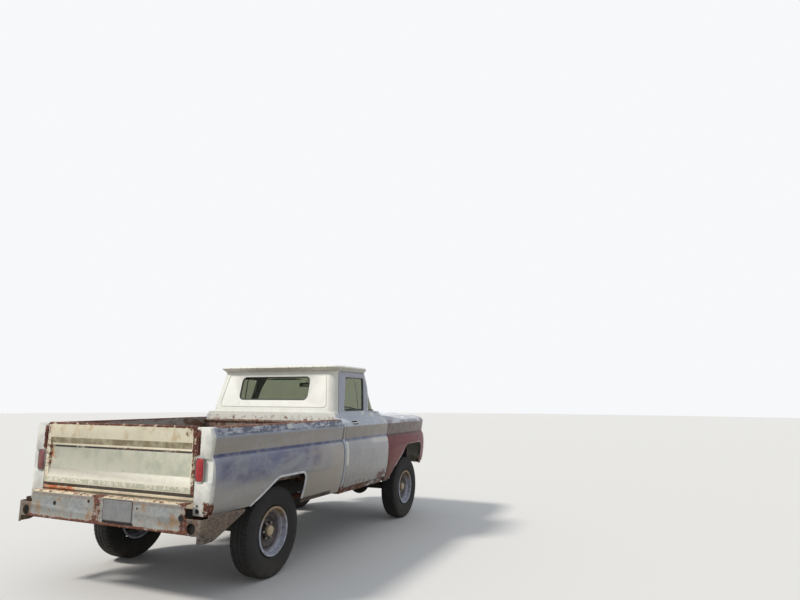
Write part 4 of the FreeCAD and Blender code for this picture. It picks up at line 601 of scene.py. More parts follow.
# The near-black chips beyond x 0.796 each way are painted shade on the wheelhouses where they show
# inside the wheel openings.
wheelhouse_paint_and_painted_shade = paint_finish(
    "wheelhouse_paint_and_painted_shade", rgb(158, 152, 142), rgb(120, 108, 96), rust=0.5, patches=0.3, rough=0.65,
    marks="""
    chips | x 0.796 1.1 0.002, z 0.5 0.999 0.001 | 34 30 30 | 3.0 3.0 0.05
    chips | x -1.1 -0.796 0.002, z 0.5 0.999 0.001 | 34 30 30 | 3.0 3.0 0.05
    rust | z 0.7 1.1 0.05 | 0.4""")
bed_worn = dull_finish("bed_worn", rgb(158, 152, 142), rgb(120, 108, 96), 0.7, dust=0.3, rust=0.3)
chrome = dull_finish("chrome", rgb(205, 205, 205), rgb(176, 176, 174), 0.22, metallic=1.0, dust=0.0,
                     bump=0.03)
dull_steel = dull_finish("dull_steel", rgb(150, 150, 148), rgb(120, 116, 110), 0.45, metallic=0.8,
                         rust=0.15)
rusty_plate = paint_finish(
    "rusty_plate", rgb(84, 68, 60), rgb(66, 54, 48), rust=0.9, patches=0.5, rough=0.75, marks="""
    rust | z 0.3 1.0 0.1 | 1.0""")


def glass_finish(name, tint, rough=0.02):
    """Old window glass: clear with a faint tint and a film of dust."""
    f = Finish(name, rough, color=tint)
    f.shader.inputs["Transmission Weight"].default_value = 1.0
    f.shader.inputs["IOR"].default_value = 1.15
    f.bump(f.noise(4.0, 2.0), 0.05, 0.002)
    return f.done(None, f.spread(f.noise(10.0, 6.0, 0.7), 0.45, 0.8, rough, 0.18))


window_glass = glass_finish("window_glass", rgb(172, 176, 160))
lamp_glass = glass_finish("lamp_glass", rgb(245, 245, 240), 0.05)
red_lens = dull_finish("red_lens", rgb(186, 36, 44), rgb(160, 26, 36), 0.18, dust=0.0, scale=40.0)
faded_lens = dull_finish("faded_lens", rgb(140, 74, 92), rgb(116, 60, 62), 0.45, dust=0.0,
                         rust=0.25)
print("materials", len(bpy.data.materials))

# %% [markdown]
# ## Dress every CAD node
# A CAD node keeps its mesh and only gets a finish. Nodes that are replaced later get one as well,
# so that nothing is ever left in its plain factory grey.

# %% Finishes of the CAD nodes
FINISH_NODES = (
    (chassis_black, "frame_rails rear_axle front_axle driveshafts radiator tie_rod rear_springs "
                    "front_springs knuckle_left knuckle_right"),
    (engine_iron, "gearbox engine_block"), (rusty_plate, "exhaust"),
    (cabin_paint, "cab_floor dashboard"), (cab_white_and_painted_light, "cab_back cab_roof grille"),
    (hood_paint, "cab_cowl hood"), (seat_vinyl, "seat"), (black_rubber, "steering_column"),
    (window_glass, "windshield rear_glass door_glass_left door_glass_right"),
    (lamp_glass, "headlamps"), (front_bumper_paint, "front_bumper"),
    (bed_floor_paint, "bed_floor"), (bed_worn, "bed_front"), (wheelhouse_paint_and_painted_shade, "wheelhouses"),
    (tailgate_paint, "tailgate"), (red_lens, "tail_lamps"), (bumper_paint, "rear_bumper"),
    (door_paint_and_painted_light, "door_left door_right"), (fender_white_and_painted_light, "fender_left"),
    (fender_red_and_painted_light, "fender_right"), (bed_paint_and_painted_light, "bed_side_left bed_side_right"))
NODE_FINISH = {node: finish for finish, nodes in FINISH_NODES for node in nodes.split()}
for name, node in NODES.items():
    finish = NODE_FINISH.get(name, tyre_rubber if name.startswith("tyre") else wheel_paint)
    node.data.materials.clear()
    node.data.materials.append(finish)
print("dressed", len(NODES), "nodes")

# %% [markdown]
# ## Floor and light
# The light is plain: a pale sky from all round and one wide lamp behind the left shoulder, like a
# low soft sun. White paint lands just under white, so every colour shows about as it is mixed. The
# floor looks pale to the camera but throws back less light than it shows, so hollows stay dark.

# %% Floor and light
floor_finish = Finish("floor_pale", 0.9)
floor_ray = floor_finish.node("ShaderNodeLightPath")
floor_seen = floor_finish.math("MAXIMUM", floor_ray.outputs["Is Camera Ray"],
                               floor_ray.outputs["Is Glossy Ray"])
floor_seen = floor_finish.math("MAXIMUM", floor_seen, floor_ray.outputs["Is Transmission Ray"])
floor_finish.done(floor_finish.mix(rgb(138, 130, 112), rgb(222, 220, 216), floor_seen))
bpy.ops.mesh.primitive_circle_add(vertices=96, radius=60.0, fill_type="NGON")
floor = bpy.context.object
floor.name = "floor"
floor.data.materials.append(floor_finish.material)

world = bpy.data.worlds.new("sky")
bpy.context.scene.world = world
world.use_nodes = True
sky = world.node_tree
for item in list(sky.nodes):
    sky.nodes.remove(item)
ray = sky.nodes.new("ShaderNodeLightPath")
lights = []
for tint, strength in (((0.86, 0.92, 1.0, 1.0), 0.60), ((0.93, 0.94, 0.96, 1.0), 1.0)):
    light = sky.nodes.new("ShaderNodeBackground")
    light.inputs["Color"].default_value = tint
    light.inputs["Strength"].default_value = strength
    lights.append(light.outputs[0])
either, through = (sky.nodes.new("ShaderNodeMath") for _ in range(2))
either.operation = through.operation = "MAXIMUM"
choose = sky.nodes.new("ShaderNodeMixShader")
output = sky.nodes.new("ShaderNodeOutputWorld")
for source, target in (
        (ray.outputs["Is Camera Ray"], either.inputs[0]),
        (ray.outputs["Is Glossy Ray"], either.inputs[1]),
        (either.outputs[0], through.inputs[0]),
        (ray.outputs["Is Transmission Ray"], through.inputs[1]),
        (through.outputs[0], choose.inputs[0]), (lights[0], choose.inputs[1]),
        (lights[1], choose.inputs[2]), (choose.outputs[0], output.inputs["Surface"])):
    sky.links.new(source, target)

sun_data = bpy.data.lights.new("soft_sun", "SUN")
sun_data.energy = 2.5
sun_data.angle = math.radians(9)
sun_data.color = (1.0, 0.96, 0.90)
sun = bpy.data.objects.new("soft_sun", sun_data)
sun.rotation_mode = "QUATERNION"
sun.rotation_quaternion = Vector((0.62, 0.52, -0.80)).to_track_quat("-Z", "Y")
bpy.context.scene.collection.objects.link(sun)
print("floor, sky and lamp ready")

# %% [markdown]
# ## Softened panels
# Pressed sheet never has a razor edge: it folds over a small radius, and that radius catches the
# light and loses its paint first. So each CAD panel is copied, its loose triangles are joined into
# whole faces, and a Bevel modifier rounds the edges. The bevel's faces take a second, worn finish.


def worn_edge(name, paint, bare, share=0.5):
    """Paint that has chipped along an edge: bare metal or rust shows in short broken runs."""
    f = Finish(name, 0.6)
    chips = f.spread(f.noise(38.0, 6.0, 0.7), 0.62 - 0.2 * share, 0.70 - 0.2 * share)
    tone = f.mix(paint, bare, chips)
    f.bump(chips, 0.2, 0.001)
    return f.done(tone)


EDGE_WHITE = worn_edge("edge_white", rgb(240, 238, 228), rgb(150, 120, 96), 0.35)
EDGE_GREY = worn_edge("edge_grey", rgb(206, 210, 218), rgb(120, 84, 66), 0.5)
EDGE_RUST = worn_edge("edge_rust", rgb(196, 184, 160), rgb(88, 50, 40), 0.8)
EDGE_RED = worn_edge("edge_red", rgb(150, 76, 82), rgb(88, 44, 44), 0.5)
EDGE_DARK = worn_edge("edge_dark", rgb(74, 66, 60), rgb(60, 42, 36), 0.5)


def panel(node, edge, width=0.0022, angle=28, finish=None):
    """Copy of a CAD panel as whole faces, with rounded and worn edges, standing for the node."""
    source = NODES[node]
    mesh = source.data.copy()
    bm = bmesh.new()
    bm.from_mesh(mesh)
    bmesh.ops.remove_doubles(bm, verts=bm.verts, dist=1e-5)
    bmesh.ops.dissolve_limit(bm, angle_limit=math.radians(0.6), verts=bm.verts, edges=bm.edges)
    bm.to_mesh(mesh)
    bm.free()
    mesh.materials.clear()
    mesh.materials.append(finish or NODE_FINISH[node])
    mesh.materials.append(edge)
    mesh.shade_smooth()
    obj = bpy.data.objects.new(node + "_panel", mesh)
    bpy.context.scene.collection.objects.link(obj)
    bevel = obj.modifiers.new("soft_edge", "BEVEL")
    bevel.width = width
    bevel.segments = 2
    bevel.limit_method = "ANGLE"
    bevel.angle_limit = math.radians(angle)
    bevel.harden_normals = True
    bevel.material = 1
    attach(obj, BODY_OF[node])
    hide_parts(node)
    return obj


panels = [panel(node, edge, width) for node, edge, width in (
    ("cab_roof", EDGE_WHITE, 0.004), ("cab_back", EDGE_WHITE, 0.003),
    ("cab_cowl", EDGE_GREY, 0.003),
    ("door_left", EDGE_GREY, 0.003), ("door_right", EDGE_GREY, 0.003),
    ("fender_left", EDGE_GREY, 0.003), ("fender_right", EDGE_RED, 0.003),
    ("hood", EDGE_GREY, 0.003), ("grille", EDGE_WHITE, 0.002), ("tailgate", EDGE_RUST, 0.003),
    ("bed_side_left", EDGE_GREY, 0.003), ("bed_side_right", EDGE_GREY, 0.003),
    ("bed_front", EDGE_RUST, 0.003), ("bed_floor", EDGE_RUST, 0.002),
    ("wheelhouses", EDGE_RUST, 0.003), ("rear_bumper", EDGE_RUST, 0.002),
    ("front_bumper", EDGE_RUST, 0.003), ("frame_rails", EDGE_DARK, 0.002),
    ("dashboard", EDGE_GREY, 0.004), ("radiator", EDGE_DARK, 0.002),
    ("engine_block", EDGE_DARK, 0.008), ("gearbox", EDGE_DARK, 0.006))]
bumper_mesh = bpy.data.objects["rear_bumper_panel"].data
spots = points_of(bumper_mesh)
spots[:, 1] = np.maximum(spots[:, 1], BUMPER_BACK)
move_points(bumper_mesh, spots)
print("panels", len(panels))

# %% [markdown]
# ## Tyres
# A bias-ply truck tyre has a nearly flat tread, square shoulders and a round side wall. The tread
# is four ribs parted by three zigzag grooves, and the shoulders are cut across into blocks. All of
# it is one grid turned round the axle: the radius is that of the side profile, less the groove
# depth.

# %% Tyres
WHEELS = (("front_left", -1, FRONT_AXLE_Y), ("front_right", 1, FRONT_AXLE_Y),
          ("rear_left", -1, REAR_AXLE_Y), ("rear_right", 1, REAR_AXLE_Y))


TREAD_BLOCKS = 60       # round the tyre
GROOVE_DEPTH = 0.0075


def tyre_profile():
    """Rows (u, r, tread) from the inner bead over the tread to the outer bead and back inside."""
    t = np.linspace(0, 1, 26)[1:]
    drop = 0.378 - 0.1645 * t
    bulge = 0.0785 + 0.0185 * np.sin(np.pi * t ** 0.85) ** 0.8
    rings = 0.0016 * (np.exp(-((t - 0.16) / 0.035) ** 2) + np.exp(-((t - 0.62) / 0.03) ** 2)
                      + 1.4 * np.exp(-((t - 0.90) / 0.035) ** 2))
    side = np.stack([np.minimum(bulge + rings, 0.0968), drop, 0 * t], -1)
    u = np.linspace(-0.0785, 0.0785, 59)
    tread = np.stack([u, 0.385 - 0.007 * np.abs(u / 0.0785) ** 3, 1 + 0 * u], -1)
    inner = np.array([[0.070, 0.2125, 0], [0.030, 0.2125, 0], [-0.030, 0.2125, 0],
                      [-0.070, 0.2125, 0]])
    return np.concatenate([side[::-1] * (-1, 1, 1), tread, side, inner])


def tyre(name, side, y, count=360):
    """Tread grid: point = centre + (u, r sin a, r cos a), with r cut by grooves of u and a."""
    rows = tyre_profile()
    a = np.linspace(0, 2 * np.pi, count, endpoint=False)
    u, r, tread = (np.broadcast_to(c, (count, len(rows))) for c in rows.T)
    turn = np.broadcast_to(a[:, None], u.shape)
    zigzag = 0.0035 * np.abs(((turn * TREAD_BLOCKS / np.pi / 2) % 1) * 4 - 2) - 0.0035
    groove = np.zeros_like(u)
    for middle, shift in ((-0.041, 1), (-0.0005, -1), (0.040, 1)):
        groove = np.maximum(groove, np.clip(1.9 - np.abs(u - middle - zigzag * shift) / 0.0026, 0,
                                            1))
    pitch = (turn * TREAD_BLOCKS / np.pi / 2 + np.where(u > 0, 0.5, 0)) % 1
    cross = np.clip(2.2 - np.abs(pitch - 0.5) / 0.075, 0, 1) * (np.abs(u) > 0.056)
    fine = np.clip(2.0 - np.abs(pitch - 0.08) / 0.05, 0, 1) * (np.abs(u) < 0.034) * 0.45
    radius = r - GROOVE_DEPTH * tread * np.maximum(np.maximum(groove, cross), fine)
    points = np.stack([u + side * 0.795, y + radius * np.sin(turn),
                       AXLE_Z + radius * np.cos(turn)], -1)
    mesh = mesh_from(name, points, [grid_faces(count, len(rows), True, True)])
    return link(name, turn_outwards(mesh), [tyre_rubber], "wheel_" + name[5:], True, 40)


for label, side, y in WHEELS:
    piece = tyre("tire_" + label, side, y)
    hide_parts("tyre_" + label)
print("tread grid", len(tyre_profile()), "by 360")

# %% [markdown]
# ## Small rounded forms
# Plates, latches, knobs and lenses all start from two formulas. A superquadric is a ball whose sine
# and cosine are raised to a small power, which squares it into a block with soft edges. A dome is a
# superellipse that rises towards its middle, with a flat back.

# %% Rounded block and dome


def power(value, exponent):
    """Signed power, which squares off a circle when the exponent is below one."""
    return np.sign(value) * np.abs(value) ** exponent


def rounded_block(name, centre, half, material, body="chassis", square=0.25, rows=17, cols=32):
    """Superquadric: centre + half * (cos v cos u, cos v sin u, sin v), each to the given power."""
    v = np.linspace(-np.pi / 2, np.pi / 2, rows)[:, None]
    u = np.linspace(0, 2 * np.pi, cols, endpoint=False)[None]
    unit = np.stack([power(np.cos(v), square) * power(np.cos(u), square),
                     power(np.cos(v), square) * power(np.sin(u), square),
                     np.broadcast_to(power(np.sin(v), square), (rows, cols))], -1)
    points = np.asarray(centre, float) + unit * np.asarray(half, float)
    mesh = mesh_from(name, points, [grid_faces(rows, cols, False, True)])
    return link(name, turn_outwards(mesh), [material], body, True, 50)


def frame_axes(facing):
    """Unit vectors across and up for a face that looks along facing."""
    n = np.asarray(facing, float) / np.linalg.norm(facing)
    across = np.cross((0, 0, 1), n)
    across /= np.linalg.norm(across)
    return across, np.cross(n, across), n


def dome(name, centre, half, depth, facing, material, body="chassis", square=1.0, rings=10,
         count=40, flutes=0.0):
    """centre + rho * superellipse(a) + depth * sqrt(1 - rho^2) * facing, closed by its back."""
    across, up, n = frame_axes(facing)
    rho = np.sin(np.linspace(0, np.pi / 2, rings))[:, None]
    a = np.linspace(0, 2 * np.pi, count, endpoint=False)[None]
    s = rho * power(np.cos(a), square) * half[0]
    t = rho * power(np.sin(a), square) * half[1]
    rise = depth * np.sqrt(np.clip(1 - rho ** 2, 0, 1)) + 0 * a
    rise = rise + flutes * np.cos(s * 2 * np.pi / 0.007) * (rho < 0.93)
    points = (np.asarray(centre, float) + s[..., None] * across + t[..., None] * up
              + rise[..., None] * n)
    back = np.asarray(centre, float) - 0.002 * n + 0.0 * points[-1:]
    points = np.concatenate([points, back])
    mesh = mesh_from(name, points, [grid_faces(rings + 1, count, False, True)])
    return link(name, turn_outwards(mesh), [material], body, True, 50)


def ring_path(centre, half, facing, square=1.0, count=48):
    """Closed path round a superellipse that looks along facing."""
    across, up, _ = frame_axes(facing)
    a = np.linspace(0, 2 * np.pi, count, endpoint=False)[:, None]
    return (np.asarray(centre, float) + power(np.cos(a), square) * half[0] * across
            + power(np.sin(a), square) * half[1] * up)


def ring(name, centre, half, facing, wide, thick, material, body="chassis", square=1.0):
    """Round bar bent along a superellipse."""
    mesh = swept(name, ring_path(centre, half, facing, square), round_section(wide, thick, 8),
                 True, facing)
    return link(name, mesh, [material], body)


TREES = {}


def touch(node, start, direction):
    """Where a straight line from start first meets a CAD node, and the surface's normal there."""
    if node not in TREES:
        mesh = NODES[node].data
        TREES[node] = BVHTree.FromPolygons([v.co for v in mesh.vertices],
                                           [tuple(p.vertices) for p in mesh.polygons])
    place, normal, _, _ = TREES[node].ray_cast(Vector(start), Vector(direction).normalized())
    if place is None:
        print("no surface met", node, start)
        return Vector(start), Vector(direction).normalized() * -1
    return place, normal


# Near-black finish for holes, slots and the door handle cups: painted shade standing in for their
# openings.
HOLLOW_SHADE = dull_finish("painted_hollow_shade", rgb(20, 18, 18), rgb(34, 30, 28), 0.9, dust=0.0)
PLATE_GREY = dull_finish("plate_grey", rgb(142, 142, 144), rgb(132, 132, 134), 0.6, dust=0.0)
LATCH_RED = paint_finish(
    "latch_red", rgb(122, 54, 56), rgb(92, 44, 44), rust=0.6, patches=0.3, marks="""
    rust | z 0.0 2.0 0.1 | 0.8""")

# %% [markdown]
# ## Wheels
# A steel wheel shows rings of different tone: a pale flange, a shaded well, a disc with its nuts,
# and a cream hub cap. The disc is painted dark as shade, and the flange is painted bluish low down
# as a sky reflection and tan higher up. One finish does it with the distance from the axle's centre
# line.

# %% Wheel finishes


def wheel_finish(name, y):
    """Tone by distance from the axle: sqrt((y - axle y)^2 + (z - axle z)^2)."""
    f = Finish(name, 0.5)
    dy = f.math("SUBTRACT", f.y, y)
    dz = f.math("SUBTRACT", f.z, AXLE_Z)
    reach = f.math("SQRT", f.math("ADD", f.times(dy, dy), f.times(dz, dz)))
    # The flange is painted bluish low down, a painted sky reflection, and tan higher up.
    flange = f.mix(rgb(192, 196, 212), rgb(176, 152, 122),
                   f.spread(f.z, AXLE_Z + 0.02, AXLE_Z + 0.17))
    # The disc inside the well is painted dark: painted shade in the wheel's recess.
    tone = f.mix(rgb(52, 50, 50), rgb(86, 82, 80), f.spread(f.noise(16, 6.0), 0.35, 0.65))
    tone = f.mix(tone, rgb(150, 148, 156), f.spread(reach, 0.146, 0.160))
    tone = f.mix(tone, flange, f.spread(reach, 0.172, 0.182))
    tone = f.mix(rgb(66, 62, 58), tone, f.spread(reach, 0.050, 0.060))
    tone = f.mix(rgb(206, 186, 150), tone, f.spread(reach, 0.043, 0.046))
    dirt = f.times(f.spread(f.noise(24, 8.0, 0.7), 0.42, 0.62), 0.45)
    tone = f.mix(tone, rgb(96, 76, 60), dirt)
    f.bump(f.noise(90, 3.0), 0.15, 0.001)
    return f.done(tone)


wheel_rear = wheel_finish("wheel_rear_paint_and_shade", REAR_AXLE_Y)
wheel_front = wheel_finish("wheel_front_paint_and_shade", FRONT_AXLE_Y)
for label, side, y in WHEELS:
    rim_node = NODES["rim_" + label]
    rim_node.data.materials.clear()
    rim_node.data.materials.append(wheel_rear if y < 0 else wheel_front)
    stem = [(side * 0.868, y + 0.158, AXLE_Z), (side * 0.884, y + 0.152, AXLE_Z),
            (side * 0.8855, y + 0.146, AXLE_Z)]
    tube("valve_" + label, stem, None, (0.008, 0.008, 8), black_rubber, "wheel_" + label)
    for k in range(6):
        a = math.pi * 2 * k / 6
        nut = np.array([side * 0.824, y + math.cos(a) * 0.06985, AXLE_Z + math.sin(a) * 0.06985])
        dome(f"nut_{label}_{k}", nut, (0.0125, 0.0125), 0.014, (side, 0, 0), dull_steel,
             "wheel_" + label, 0.8, 5, 12)
    dome("hub_cap_" + label, (side * 0.8465, y, AXLE_Z), (0.044, 0.044), 0.012, (side, 0, 0),
         cap_cream, "wheel_" + label, 1.0, 8, 32)

# %% [markdown]
# ## Window rubber
# Each pane sits in a black rubber strip. The strip follows the edge of the pane's outer face, which
# is read from the CAD pane, so it can't drift from the glass. A round bar is swept along that edge.

# %% Edges of CAD faces


def face_edges(node, looks):
    """Runs of points round the faces of a node that look out, ordered along the edge."""
    bm = bmesh.new()
    bm.from_mesh(NODES[node].data)
    bmesh.ops.remove_doubles(bm, verts=bm.verts, dist=1e-5)
    chosen = {face for face in bm.faces if looks(face.calc_center_median(), face.normal)}
    joined = {}
    for edge in bm.edges:
        if sum(face in chosen for face in edge.link_faces) == 1:
            one, two = edge.verts
            joined.setdefault(one.index, []).append(two.index)
            joined.setdefault(two.index, []).append(one.index)
    bm.verts.ensure_lookup_table()
    place = [tuple(vertex.co) for vertex in bm.verts]
    bm.free()
    runs = []
    while joined:
        start = next(iter(joined))
        run = [start]
        while True:
            after = [v for v in joined.pop(run[-1], []) if v in joined]
            if not after:
                break
            run.append(after[0])
        runs.append(np.array([place[v] for v in run]))
    return sorted(runs, key=len, reverse=True)


PANES = (("rear_glass", "chassis", lambda c, n: n.y < -0.6, lambda p: p * 0 + (0, -1, 0.25)),
         ("door_glass_left", "door_left", lambda c, n: n.x < -0.6, lambda p: p * 0 + (-1, 0, 0.18)),
         ("door_glass_right", "door_right", lambda c, n: n.x > 0.6, lambda p: p * 0 + (1, 0, 0.18)),
         ("windshield", "chassis",
          lambda c, n: n.dot(Vector((c.x * 1.6, c.y - 0.35, 0.12)).normalized()) > 0.35,
          lambda p: p * (1.6, 1, 0) - (0, 0.35, -0.12)))
for node, body, looks, out in PANES:
    edge = even_path(face_edges(node, looks)[0], 0.011)
    up = out(edge)
    up = up / np.linalg.norm(up, axis=1, keepdims=True)
    wide, thick = (0.026, 0.014) if body == "chassis" else (0.016, 0.010)
    strip = swept("rubber_" + node, edge + up * 0.002, round_section(wide, thick, 8), True, up)
    link("rubber_" + node, strip, [black_rubber], body)
    print(node, "edge of", len(edge), "points", edge.min(0).round(3), edge.max(0).round(3))

# %% [markdown]
# ## Wheel arch lips
# The sheet turns inwards round each wheel opening. A thin bright roll follows the CAD side's edge;
# its near-white colour is a painted highlight along the lip.

# %% Arch lips
LIP_HIGHLIGHT_WHITE = dull_finish("lip_white_highlight", rgb(240, 241, 244), rgb(214, 216, 222), 0.4, dust=0.05,
                        rust=0.12)
LIP_HIGHLIGHT_RED = dull_finish("lip_red_highlight", rgb(218, 204, 204), rgb(172, 128, 128), 0.45, dust=0.05, rust=0.15)
for node, sign, axle in (("bed_side_left", -1, REAR_AXLE_Y), ("bed_side_right", 1, REAR_AXLE_Y),
                         ("fender_left", -1, FRONT_AXLE_Y), ("fender_right", 1, FRONT_AXLE_Y)):
    edge = face_edges(node, lambda c, n: n.x * sign > 0.5)[0]
    low = 0.60 if axle < 0 else 0.66
    inside = ((edge[:, 1] > axle - 0.68) & (edge[:, 1] < axle + 0.36) & (edge[:, 2] < 0.98)
              & (edge[:, 2] > low))
    order = np.roll(np.arange(len(edge)), -int(np.argmin(inside)))
    run = edge[order][inside[order]]
    run = even_path(run, 0.012, False)
    path = run - np.array([sign * 0.003, 0, 0])
    path[:, 0] = np.clip(path[:, 0], -LIP_REACH, LIP_REACH)
    lip = swept("lip_" + node, path, round_section(0.024 if axle < 0 else 0.018, 0.014, 8),
                False, (sign, 0, 0))
    link("lip_" + node, lip, [LIP_HIGHLIGHT_RED if node == "fender_right" else LIP_HIGHLIGHT_WHITE], BODY_OF[node])
    print(node, "lip", len(run), run[0].round(2), run[-1].round(2))

# %% [markdown]
# ## Lamps, posts and latches
# Each rear post carries a tall red lens in a bright bezel, a rusty latch for the tailgate and two
# bolt holes near its foot. The left lens has faded in the sun.

# %% Rear posts
for side, tag, red in ((-1, "left", faded_lens), (1, "right", red_lens)):
    middle = (side * 0.876, -2.3175, 1.0)
    lens = dome("lens_" + tag, middle, (0.036, 0.084), 0.010, (0, -1, 0), red, "chassis", 0.45, 12,
                56, 0.0004)
    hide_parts("tail_lamps")
    ring("bezel_" + tag, middle, (0.040, 0.088), (0, -1, 0), 0.008, 0.010, dull_steel, "chassis",
         0.45)
    rounded_block("latch_" + tag, (side * 0.846, -2.3165, 1.185), (0.013, 0.006, 0.072), LATCH_RED,
                  "chassis", 0.35)
    ring("hook_" + tag, (side * 0.846, -2.323, 1.214), (0.010, 0.022), (0, -1, 0), 0.008, 0.008,
         LATCH_RED, "chassis", 0.8)
    # Each hole is a near-black disc, painted shade of the opening, in a steel rim.
    for k, (x, z, r) in enumerate(((0.872, 0.704, 0.018), (0.868, 0.742, 0.008),
                                   (0.93, 0.70, 0.007))):
        dome(f"post_hole_{tag}_{k}", (side * x, -2.3155, z), (r, r), 0.0012, (0, -1, 0), HOLLOW_SHADE,
             "chassis", 1.0, 4, 20)
        ring(f"post_rim_{tag}_{k}", (side * x, -2.3155, z), (r, r), (0, -1, 0), 0.004, 0.004,
             dull_steel)

# %% [markdown]
# ## Rear bumper
# The plate carries a blank number plate in a thin frame, a slot below it, and the holes that a tow
# hitch and hooks were once bolted through.

# %% Rear bumper details
rounded_block("number_plate", (0.157, -2.3975, 0.669), (0.152, 0.0018, 0.076), PLATE_GREY,
              "chassis", 0.12)
ring("plate_frame", (0.157, -2.3985, 0.669), (0.155, 0.079), (0, -1, 0), 0.006, 0.002,
     EDGE_DARK, "chassis", 0.12)
# The slot and the holes below are near-black shapes: painted shade of the openings.
rounded_block("plate_slot", (0.165, -2.3960, 0.580), (0.165, 0.003, 0.010), HOLLOW_SHADE, "chassis", 0.3)
for k, (x, z, r) in enumerate(((0.800, 0.664, 0.024), (-0.555, 0.676, 0.016),
                               (-0.164, 0.716, 0.011), (-0.06, 0.70, 0.006), (0.36, 0.70, 0.006))):
    dome(f"bumper_hole_{k}", (x, -2.3968, z), (r, r), 0.001, (0, -1, 0), HOLLOW_SHADE, "chassis", 1.0, 4,
         24)
    ring(f"bumper_rim_{k}", (x, -2.3968, z), (r, r), (0, -1, 0), 0.005, 0.004, EDGE_DARK)
# Tow holes: near-black discs, painted shade of the openings.
for side, x in ((-1, 0.896), (1, 0.896)):
    dome(f"tow_hole_{'left' if side < 0 else 'right'}", (side * x, -2.378, 0.587), (0.036, 0.036),
         0.001, (0, -1, 0), HOLLOW_SHADE, "chassis", 1.0, 4, 28)
for k, x in enumerate((0.04, 0.274)):
    dome(f"plate_bolt_{k}", (x, -2.3968, 0.73), (0.005, 0.005), 0.002, (0, -1, 0), dull_steel)

# %% [markdown]
# ## Cab back and doors
# The cab's back wall has a pressed bead round the window. Each door has a pull handle in a cup, a
# lock, and a bright post that parts the vent from the main glass.

# %% Bead, handles and vent posts


def cab_back_y(z):
    """The back wall leans: y grows evenly with height between belt and gutter."""
    return -0.280 + 0.114 * (z - 1.382) / 0.456


bead = rounded_path([(x, cab_back_y(z), z) for x, z in
                     ((-0.728, 1.440), (0.728, 1.440), (0.664, 1.815), (-0.664, 1.815))], 0.05, 8)
link("back_bead", swept("back_bead", even_path(bead, 0.02), round_section(0.018, 0.009, 8), True,
                        (0, -1, 0.25)), [cab_white_and_painted_light])
for side, tag in ((-1, "left"), (1, "right")):
    door = "door_" + tag
    skin = abs(touch(door, (side * 2, -0.02, 1.268), (-side, 0, 0))[0].x)
    bar = [(side * skin, -0.095, 1.268), (side * (skin + 0.016), -0.078, 1.268),
           (side * (skin + 0.020), -0.020, 1.268), (side * (skin + 0.016), 0.028, 1.268),
           (side * skin, 0.045, 1.268)]
    tube("handle_" + tag, bar, 0.004, (0.026, 0.016, 12), chrome, door)
    # The cup is a near-black block: painted shade in the recess behind the handle.
    rounded_block("handle_cup_" + tag, (side * (skin + 0.001), -0.025, 1.268),
                  (0.003, 0.062, 0.020), HOLLOW_SHADE, door, 0.6)
    dome("lock_" + tag, (side * skin, -0.125, 1.268), (0.011, 0.011), 0.010, (side, 0, 0), chrome,
         door)
    low, high = np.array([0.826, 0.298, 1.400]), np.array([0.7725, 0.298, 1.768])
    post = np.array([low, high]) * (side, 1, 1)
    tube("vent_post_" + tag, post, 0.02, (0.016, 0.012, 8), dull_steel, door, (side, 0, 0))

# %% [markdown]
# ## Bench seat
# Springs and padding push a bench's vinyl out into soft crowns, and the sewn channels pull it back
# in. So each cushion starts as a slim rounded block, is inflated by the cloth solver, and gets its
# channels pressed in last. The pressure is outward only, so a cap keeps it inside its place.

# %% Cushions


def inflated(obj, cap, voxel=0.008, frames=20):
    """Cushion mesh after voxel remesh and a cloth run under pressure, no point moved beyond cap."""
    grid = obj.modifiers.new("grid", "REMESH")
    grid.mode = "VOXEL"
    grid.voxel_size = voxel
    graph = bpy.context.evaluated_depsgraph_get()
    start = bpy.data.meshes.new_from_object(obj.evaluated_get(graph))
    obj.modifiers.clear()
    obj.data = start
    rest = points_of(start)
    cloth = obj.modifiers.new("cloth", "CLOTH")
    cloth.settings.quality = 3
    cloth.settings.use_pressure = True
    cloth.settings.uniform_pressure_force = 4.0
    cloth.settings.effector_weights.gravity = 0.0
    for number in range(1, frames + 1):
        bpy.context.scene.frame_set(number)
    graph = bpy.context.evaluated_depsgraph_get()
    swollen = bpy.data.meshes.new_from_object(obj.evaluated_get(graph))
    place = points_of(swollen)
    obj.modifiers.clear()
    bpy.context.scene.frame_set(1)
    step = place - rest
    reach = np.linalg.norm(step, axis=1, keepdims=True)
    step *= np.minimum(1.0, cap / np.maximum(reach, 1e-9))
    move_points(start, rest + step)
    start.update()
    return start


